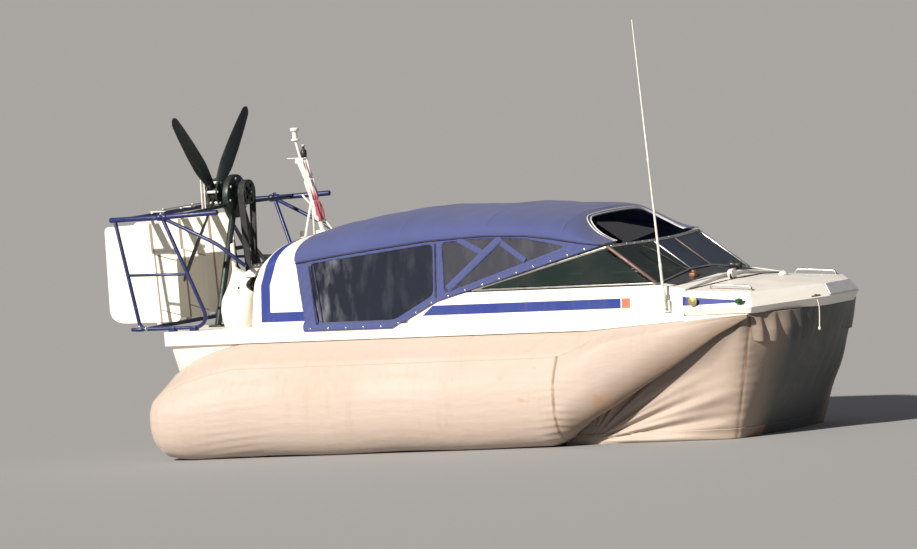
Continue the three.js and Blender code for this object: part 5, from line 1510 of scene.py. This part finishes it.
def make_scoop(name, side):
    """Superellipse rings of SCOOP_POWER, and the points that fall inside the mouth's ellipsoid pushed out to its skin,
    away from its centre, which hollows the moulding."""
    z = np.concatenate([np.linspace(1.0708, 1.33, 40), np.linspace(1.335, 1.57, 90)])
    centre, half_x, half_y = [column[:, None] for column in columns_at(SCOOP_ROWS, z, 9)]
    angle = circle(160)[None, :]
    x = centre + half_x * powered(np.cos(angle), 2 / SCOOP_POWER)
    y = side * SCOOP_Y + half_y * powered(np.sin(angle), 2 / SCOOP_POWER)
    skin = np.stack(np.broadcast_arrays(x, y, z[:, None]), -1)
    away = (skin - MOUTH * (1, side, 1)) / MOUTH_REACH
    far = np.linalg.norm(away, axis=-1, keepdims=True)
    skin = np.where(far < 1, MOUTH * (1, side, 1) + away / np.maximum(far, 1e-3) * MOUTH_REACH, skin)
    ends = [np.broadcast_to(ring.mean(0), ring.shape)[None] for ring in (skin[0], skin[-1])]
    skin = np.concatenate([ends[0], skin, ends[1]])
    parts = [(skin.reshape(-1, 3), grid_faces(*skin.shape[:2], closed_columns=True)),
             tube([(-2.035, side * SCOOP_Y, 1.560), (-2.040, side * SCOOP_Y, 1.760)], 0.019)]
    scoop = assembled(f"scoop_{name}", parts, SCOOP_WHITE, slot="white_plastic")
    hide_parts(f"air_scoop_{name}")
    u = np.linspace(0, 1, 30)[:, None]
    arc = np.radians(np.linspace(18, 162, 40))[None, :]
    radius = np.sin(np.clip(u * 1.35, 0.02, 1) * math.pi / 2) * (1 - 0.06 * u)
    y, z = side * SCOOP_Y - 0.112 * radius * np.cos(arc), 1.462 + 0.094 * radius * np.sin(arc)
    hood = np.stack(np.broadcast_arrays(-1.985 + 0.190 * u, y, z), -1)
    visor = new_piece(f"scoop_hood_{name}", hood, grid_faces(*hood.shape[:2]), SCOOP_WHITE, slot="white_plastic")
    thicken(visor, 0.007, 0.0)
    knob = domes(np.array([(-1.945, side * 0.760, 1.402)]), np.array([(0.1, side, 0.2)]), 0.011, 0.008)
    assembled(f"scoop_knob_{name}", [knob], DARK_STEEL)


for name, side in SIDES:
    make_scoop(name, side)

# Mast. A raked white tube on the cowl with three struts, a thin cross plate, a horn and an all-round light, and a
# striped cloth furled round it and tied.
MAST_FOOT = np.array([-1.510, 0.0, 1.806])
MAST_HEAD = np.array([-1.738, 0.0, 2.655])
MAST_WHITE = metal("mast_white", (0.86, 0.82, 0.75), 0.35, metallic=0.0, worn=(0.62, 0.50, 0.40))
BLACK_PLASTIC = metal("dark_plastic", (0.022, 0.024, 0.027), 0.42, metallic=0.0)


def up_mast(share):
    return MAST_FOOT + (MAST_HEAD - MAST_FOOT) * share


def make_mast():
    """Tubes between points of the raked line, and the lamp as one turned shape on its top."""
    plate = up_mast(0.72)
    parts = [tube([MAST_FOOT, plate], (0.022, 0.019)), tube([plate, up_mast(0.9)], (0.013, 0.011)),
             tube([(-1.640, -0.090, 1.740), up_mast(0.35)], 0.011),
             tube([(-1.640, 0.090, 1.740), up_mast(0.35)], 0.010),
             tube([(-1.440, 0.060, 1.795), up_mast(0.2)], 0.010),
             tube([up_mast(0.24) - (0.012, 0.03, 0), up_mast(0.36) - (0.075, 0.03, 0)], 0.008)]
    parts += [block(plate - (0.120, 0.020, 0.0), plate + (0.060, 0.020, 0.006)),
              block(plate - (0.040, 0.030, 0.040), plate + (0.034, 0.030, 0.0))]
    for x, y, half, top in ((-1.510, 0.0, 0.044, 1.812), (-1.640, -0.090, 0.026, 1.766), (-1.640, 0.090, 0.026, 1.766),
                            (-1.440, 0.060, 0.024, 1.808)):
        parts.append(block((x - half, y - half, top - 0.052), (x + half, y + half, top)))
    lamp = [(-0.004, 0.001), (-0.004, 0.032), (0.002, 0.036), (0.010, 0.034), (0.014, 0.022), (0.074, 0.021),
            (0.078, 0.034),
            (0.084, 0.037), (0.098, 0.037), (0.104, 0.032), (0.108, 0.001)]
    parts.append(turned(lamp, up_mast(0.9), (0, 0, 1)))
    mast = assembled("mast_tubes", parts, MAST_WHITE, slot="mast_white", bevel=0.0015)
    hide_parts("mast")
    horn = [(0.0, 0.001), (0.0, 0.024), (0.030, 0.027), (0.062, 0.024), (0.070, 0.012), (0.094, 0.010), (0.100, 0.018),
            (0.106, 0.001)]
    assembled("mast_horn", [turned(horn, plate + (0.030, 0, 0.006), (0, 0, 1))], BLACK_PLASTIC, slot="dark_plastic")
    assembled("mast_horn_cap", [turned([(0, 0.001), (0, 0.013), (0.014, 0.015), (0.018, 0.001)],
                                       plate + (0.030, 0, 0.098), (0, 0, 1))], MAST_WHITE)


make_mast()


def furled_paint():
    """Cotton, cream with dull red along the fore side of the roll's lower part, in long broken streaks."""
    paint = Paint("furled_cloth", (0.82, 0.72, 0.66), 0.85)
    x, y, z = paint.axes()
    rake = float((MAST_HEAD - MAST_FOOT)[0] / (MAST_HEAD - MAST_FOOT)[2])
    ahead = x - (float(MAST_FOOT[0]) + 0.010) - (z - float(MAST_FOOT[2])) * rake
    uneven = (paint.noise(9.0, 3.0, stretch=(2.0, 2.0, 0.5)) - 0.5) * 0.09
    red = paint.ramp(ahead + uneven, 0.000, 0.006) * paint.ramp(z, 2.17, 2.10)
    paint.set(Base_Color=paint.mix(red, (0.84, 0.74, 0.68), (0.36, 0.085, 0.115)))
    paint.bump(paint.noise(26.0, 4.0, stretch=(1, 1, 0.25)), 0.5, 0.01)
    paint.set(Sheen_Weight=0.2)
    return paint.material


def make_furled_cloth():
    """A slack roll round the mast: rings whose radius carries lengthwise folds, drawn in at two ties."""
    share = np.linspace(0.10, 0.695, 160)[:, None]
    angle = circle(72)[None, :]
    ties = valley(share - 0.30, 0.012) + valley(share - 0.52, 0.012)
    ends = np.clip((share - 0.10) / 0.03, 0.1, 1) * np.clip((0.695 - share) / 0.02, 0.35, 1)
    base = 0.025 + 0.011 * np.sqrt(ends) * (1 - 0.55 * ties) + 0.008 * valley(share - 0.68, 0.06)
    folds = (0.0065 * np.sin(5 * angle + 14 * share) + 0.0035 * np.sin(11 * angle - 9 * share) + 0.004
             * np.sin(2 * angle + 21 * share))
    radius = base + folds * np.sqrt(ends) * (1 - 0.6 * ties)
    way = unit(MAST_HEAD - MAST_FOOT)
    across, over = np.array([0.0, 1.0, 0.0]), np.cross(way, (0.0, 1.0, 0.0))
    centre = MAST_FOOT + share[..., None] * (MAST_HEAD - MAST_FOOT) + 0.010 * np.array([1.0, 0, 0])
    points = centre + radius[..., None] * (np.cos(angle)[..., None] * across + np.sin(angle)[..., None] * over)
    roll = new_piece("mast_furled_cloth", points, grid_faces(*points.shape[:2], closed_columns=True, flip=True),
                     furled_paint())
    thicken(roll, 0.002)


make_furled_cloth()

# Whip antenna: a tapered white glass-fibre rod on a lay-down mount that hinges at the coaming.
ANTENNA_FOOT = (2.112, -0.972, 1.122)


def make_antenna():
    """The rod is one long turned cone with its ferrules; the mount keeps its CAD shape with rounded edges."""
    base = np.array(ANTENNA_FOOT)
    tip = base + (-0.128, 0.0, 2.387)
    reach = float(np.linalg.norm(tip - base))
    profile = [(-0.012, 0.001), (-0.012, 0.013), (0.0, 0.0155), (0.055, 0.0155), (0.060, 0.0185), (0.125, 0.0185),
               (0.130, 0.0125),
               (0.32, 0.0115), (0.325, 0.0135), (0.36, 0.0135), (0.365, 0.0105), (1.20, 0.0080), (1.205, 0.0105),
               (1.235, 0.0105),
               (1.24, 0.0075), (reach - 0.02, 0.0045), (reach - 0.006, 0.0040), (reach, 0.001)]
    whip = assembled("antenna_rod", [turned(profile, base, tip - base, sides=20)], MAST_WHITE, body="antenna_group",
                     slot="white_plastic")
    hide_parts("antenna_whip")
    finish_node("antenna_mount", MAST_WHITE, 0.003)


make_antenna()

# Foredeck fittings. Bare step plate in the nose, two grab rails, a lamp and a horn by the windshield, a wiper, a vent
# dome, a bronze fairlead with its short line, side light, filler cap, and a rubber strip along the trunk's foot.
STEP_GREY = metal("step_grey", (0.86, 0.85, 0.90), 0.6, grain=0.6, metallic=0.0)
CLEAT_BRONZE = metal("cleat_bronze", (0.30, 0.16, 0.08), 0.45, metallic=0.6)
FILLER_BRASS = metal("filler_brass", (0.52, 0.44, 0.20), 0.4, metallic=0.7)
ROPE_WHITE = metal("rope_white", (0.80, 0.78, 0.70), 0.9, grain=1.0, metallic=0.0)
finish_node("bow_step_plate", STEP_GREY)


def make_rails():
    for name, side in SIDES:
        y = side * 0.800
        line = [(2.456, y, 1.226), (2.462, y, 1.280), (2.822, y, 1.256), (2.834, y, 1.222)]
        parts = [tube(line, 0.0095, bend=0.035)]
        parts += [turned([(0, 0.001), (0, 0.020), (0.004, 0.019), (0.008, 0.010)], (x, y, z), (0, 0, 1), sides=24)
                  for x, z in ((2.456, 1.2265), (2.834, 1.2215))]
        rail = assembled(f"deck_rail_{name}", parts, ALUMINIUM, slot="bare_aluminium")
        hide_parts(f"grab_rail_{name}")


make_rails()


def make_bow_fittings():
    strip = [(2.290, -0.840, 1.2510), (2.330, -0.620, 1.2640), (2.390, -0.320, 1.2810), (2.415, -0.190, 1.2880),
             (2.425, 0.0, 1.2890), (2.415, 0.190, 1.2880), (2.390, 0.320, 1.2810), (2.330, 0.620, 1.2640),
             (2.290, 0.840, 1.2510)]
    assembled("trunk_strip", [tube(strip, 0.007, bend=0.06)], HOSE_BLACK)
    for name, side in SIDES:
        sill = np.array([(2.281, side * y, z)
                         for y, z in ((0.952, 0.982), (0.981, 0.982), (0.981, 1.0404), (0.952, 1.0404))]
                        + [(2.868, side * y, z)
                           for y, z in ((0.952, 1.032), (0.981, 1.032), (0.981, 1.0404), (0.952, 1.0404))])
        assembled(f"bow_sill_{name}", [(sill, PRISM_FACES)],
                  WHITE, slot="gelcoat_white", smooth=False)
        lamp = [(0, 0.001), (0, 0.026), (0.006, 0.026), (0.010, 0.020), (0.022, 0.016), (0.028, 0.001)]
        color = (0.02, 0.10, 0.03) if side < 0 else (0.22, 0.02, 0.02)
        lens = metal(f"side_light_{name}", color, 0.2, metallic=0.0)
        assembled(f"side_light_{name}", [turned(lamp, (2.800, side * 0.980, 1.146), (0, side, 0)),
                                         block((2.768, side * 0.984 - 0.004, 1.128),
                                               (2.832, side * 0.984 + 0.004, 1.166))], lens)
    cap = [(0, 0.001), (0, 0.040), (0.004, 0.040), (0.006, 0.033), (0.006, 0.026), (0.012, 0.024), (0.012, 0.001)]
    assembled("filler_cap", [turned(cap, (2.372, -0.980, 1.160), (0, -1, 0)),
                             block((2.356, -0.998, 1.157), (2.388, -0.990, 1.163))], FILLER_BRASS, bevel=0.001)
    dome = [(0, 0.001), (0, 0.042), (0.006, 0.042), (0.016, 0.036), (0.030, 0.020), (0.034, 0.001)]
    assembled("deck_vent", [turned(dome, (2.590, 0.300, 1.270), (0, 0, 1))], MAST_WHITE)
    lamp = [(0, 0.001), (0, 0.018), (0.012, 0.034), (0.034, 0.040), (0.060, 0.040), (0.062, 0.034), (0.056, 0.001)]
    assembled("spotlight", [turned(lamp, (2.338, -0.215, 1.330), (1, -0.15, 0.0)),
                            tube([(2.370, -0.215, 1.284), (2.370, -0.215, 1.303)], 0.012),
                            block((2.345, -0.240, 1.282), (2.395, -0.190, 1.294))], MAST_WHITE, bevel=0.001)
    assembled("spotlight_bracket", [tube([(2.380, -0.262, 1.296), (2.380, -0.262, 1.330)], 0.008),
                                    tube([(2.380, -0.168, 1.296), (2.380, -0.168, 1.330)], 0.008),
                                    tube([(2.380, -0.264, 1.298), (2.380, -0.166, 1.298)], 0.009)], BLACK_PLASTIC)
    horn = [(0, 0.001), (0, 0.030), (0.030, 0.034), (0.048, 0.026), (0.070, 0.022), (0.090, 0.032), (0.096, 0.034),
            (0.094, 0.028), (0.080, 0.001)]
    assembled("deck_horn", [turned(horn, (2.160, 0.190, 1.378), (1, 0.1, -0.1)),
                            block((2.180, 0.160, 1.325), (2.230, 0.220, 1.352))], BLACK_PLASTIC, bevel=0.002)
    wiper = [block((2.085, -0.440, 1.325), (2.140, -0.355, 1.362)),
             turned([(0, 0.001), (0, 0.022), (0.02, 0.020), (0.024, 0.001)], (2.110, -0.395, 1.360), (0, 0, 1))]
    assembled("wiper_motor", wiper, CLEAT_BRONZE, bevel=0.006)
    assembled("wiper_arm",
              [tube([(2.105, -0.395, 1.386), (2.030, -0.400, 1.402), (1.760, -0.460, 1.582)], 0.0045, bend=0.03),
                            tube([(1.840, -0.420, 1.527), (1.700, -0.480, 1.603)], 0.005)], BLACK_PLASTIC)


make_bow_fittings()


def make_bow_line():
    """A fairlead on the starboard cheek and the short rope that hangs from its eye, along a line that drops straight,
    drifting a little, to a knot."""
    eye = np.array([3.180, -0.372, 1.128])
    out = np.array([0.88, -0.47, 0.0])
    parts = [turned([(0, 0.001), (0, 0.026), (0.008, 0.026), (0.012, 0.010), (0.030, 0.009), (0.034, 0.016),
                     (0.042, 0.016), (0.046, 0.001)], eye, out, sides=24),
             tube([eye + out * 0.038 + (0.020, 0.037, 0.004), eye + out * 0.038 - (0.020, 0.037, 0.004)], 0.008)]
    assembled("bow_fairlead", parts, CLEAT_BRONZE)
    start = eye + out * 0.030
    t = np.linspace(0, 1, 22)[:, None]
    across, down = np.array([0.47, 0.88, 0.0]), np.array([0.0, 0.0, -0.262])
    path = start + out * 0.020 * np.sin(np.minimum(t * 3, 1) * math.pi / 2)
    path = path + (0.020 * t + 0.012 * np.sin(4 * t)) * across + down * t ** 1.15
    rope = assembled("bow_line", [tube(path, 0.0045, sides=10)], ROPE_WHITE)
    knot = assembled("bow_line_knot",
                     [turned([(-0.016, 0.003), (-0.010, 0.010), (0.0, 0.0125), (0.010, 0.010), (0.016, 0.003)],
                             path[-1] - (0, 0, 0.006), (0, 0, 1), sides=20)], ROPE_WHITE)


make_bow_line()

# Cabin. A dark moulded dash with a wheel, two upright seats and a bench in padded blue-grey vinyl with piped seams, on
# the well's floor.
SEAT_BLUE = metal("seat_vinyl", (0.060, 0.072, 0.130), 0.5, grain=0.5, metallic=0.0)
HELM = np.array([1.515, 0.360, 1.190])
CABIN_FLOOR_Z = 0.4205
finish_node("dashboard", BLACK_PLASTIC, 0.012)


def wheel_paint():
    paint = Paint("wheel_black", (0.018, 0.018, 0.019), 0.5)
    paint.bump(paint.noise(160.0, 2.0), 0.5, 0.002)
    paint.mottle(30.0, 0.4, 0.6)
    return paint.material


def make_wheel():
    """A ring of round section with finger grips, three spokes and a domed hub, in the wheel's tilted plane."""
    tilt = math.radians(65.0)
    axis = np.array([-math.sin(tilt), 0.0, math.cos(tilt)])
    across, over = np.array([0.0, 1.0, 0.0]), np.cross(axis, (0.0, 1.0, 0.0))
    u = circle(96)[:, None]
    v = circle(16)[None, :]
    thick = 0.0130 + 0.0012 * np.cos(u * 24)
    reach = (0.170 + thick * np.cos(v))[..., None]
    ring = (HELM + reach * (np.cos(u)[..., None] * across + np.sin(u)[..., None] * over)
            + (thick * np.sin(v))[..., None] * axis)
    parts = [(ring.reshape(-1, 3), grid_faces(96, 16, closed_rows=True, closed_columns=True))]
    for degrees in (90, 210, 330):
        angle = math.radians(degrees)
        way = math.cos(angle) * across + math.sin(angle) * over
        parts.append(tube([HELM + way * 0.03 - axis * 0.012, HELM + way * 0.168], 0.009))
    parts.append(turned([(-0.060, 0.001), (-0.060, 0.026), (-0.020, 0.032), (0.000, 0.034), (0.008, 0.026),
                         (0.011, 0.001)], HELM, axis))
    wheel = assembled("helm_wheel", parts, wheel_paint(), body="helm_group", slot="wheel_black")
    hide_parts("steering_wheel")


make_wheel()


def cushion(name, half, place, tilt, channels, swell):
    """A crowned pad: a boxy superellipsoid of these half sizes, its faces swollen between sewn channels that run
    across it, tilted about the y axis and moved to its place."""
    u = np.linspace(-math.pi / 2, math.pi / 2, 46)[:, None]
    v = np.linspace(-math.pi, math.pi, 96, endpoint=False)[None, :]
    x = powered(np.cos(u), 0.35) * powered(np.cos(v), 0.35)
    y = powered(np.cos(u), 0.35) * powered(np.sin(v), 0.35)
    z = powered(np.sin(u), 0.45) * np.ones_like(v)
    crown = (1 - x ** 4) * (1 - y ** 4)
    groove = sum(valley(x - at, 0.035) for at in np.linspace(-1, 1, channels + 2)[1:-1])
    z = z * (1 + swell * crown) - np.sign(z) * 0.16 * groove * (np.abs(y) < 0.97) * np.abs(z)
    points = np.stack([x, y, z], -1) * half
    t = math.radians(tilt)
    turned_x = points[..., 0] * math.cos(t) + points[..., 2] * math.sin(t)
    turned_z = points[..., 2] * math.cos(t) - points[..., 0] * math.sin(t)
    points = np.stack([turned_x, points[..., 1], turned_z], -1) + place
    faces = grid_faces(*points.shape[:2], closed_columns=True)
    pad = face_out(new_piece(name, points, faces, SEAT_BLUE, slot="seat_vinyl"))


def make_seats():
    """Each seat is a moulded box with a base pad and a back pad, and the bench a longer box with three of each."""
    for name, side in SIDES:
        y = side * 0.360
        box = [block((0.860, y - 0.205, CABIN_FLOOR_Z), (1.240, y + 0.205, 0.800)),
               block((0.735, y - 0.190, 0.790), (0.800, y + 0.190, 1.300))]
        shell = assembled(f"seat_shell_{name}", box, BLACK_PLASTIC, slot="dark_plastic", bevel=0.02)
        cushion(f"seat_base_{name}", (0.235, 0.235, 0.055), (1.060, y, 0.855), -2.0, 3, 0.25)
        cushion(f"seat_back_{name}", (0.270, 0.225, 0.050), (0.790, y, 1.120), 102.0, 3, 0.25)
        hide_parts(f"seat_{name}")
    box = [block((-1.170, -0.610, CABIN_FLOOR_Z), (-0.660, 0.610, 0.830)),
           block((-1.175, -0.600, 0.800), (-1.130, 0.600, 1.360))]
    shell = assembled("bench_box", box, BLACK_PLASTIC, slot="dark_plastic", bevel=0.015)
    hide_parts("rear_bench")
    for number, y in enumerate((-0.410, 0.0, 0.410), 1):
        cushion(f"bench_base_{number}", (0.240, 0.200, 0.045), (-0.850, y, 0.875), -2.0, 2, 0.3)
        cushion(f"bench_back_{number}", (0.260, 0.200, 0.045), (-1.085, y, 1.160), 98.0, 2, 0.3)


make_seats()

# Skids. Two aluminium runners under the hull, that carry it ashore.
for node in ("landing_skid_starboard", "landing_skid_port"):
    finish_node(node, ALUMINIUM, 0.006)
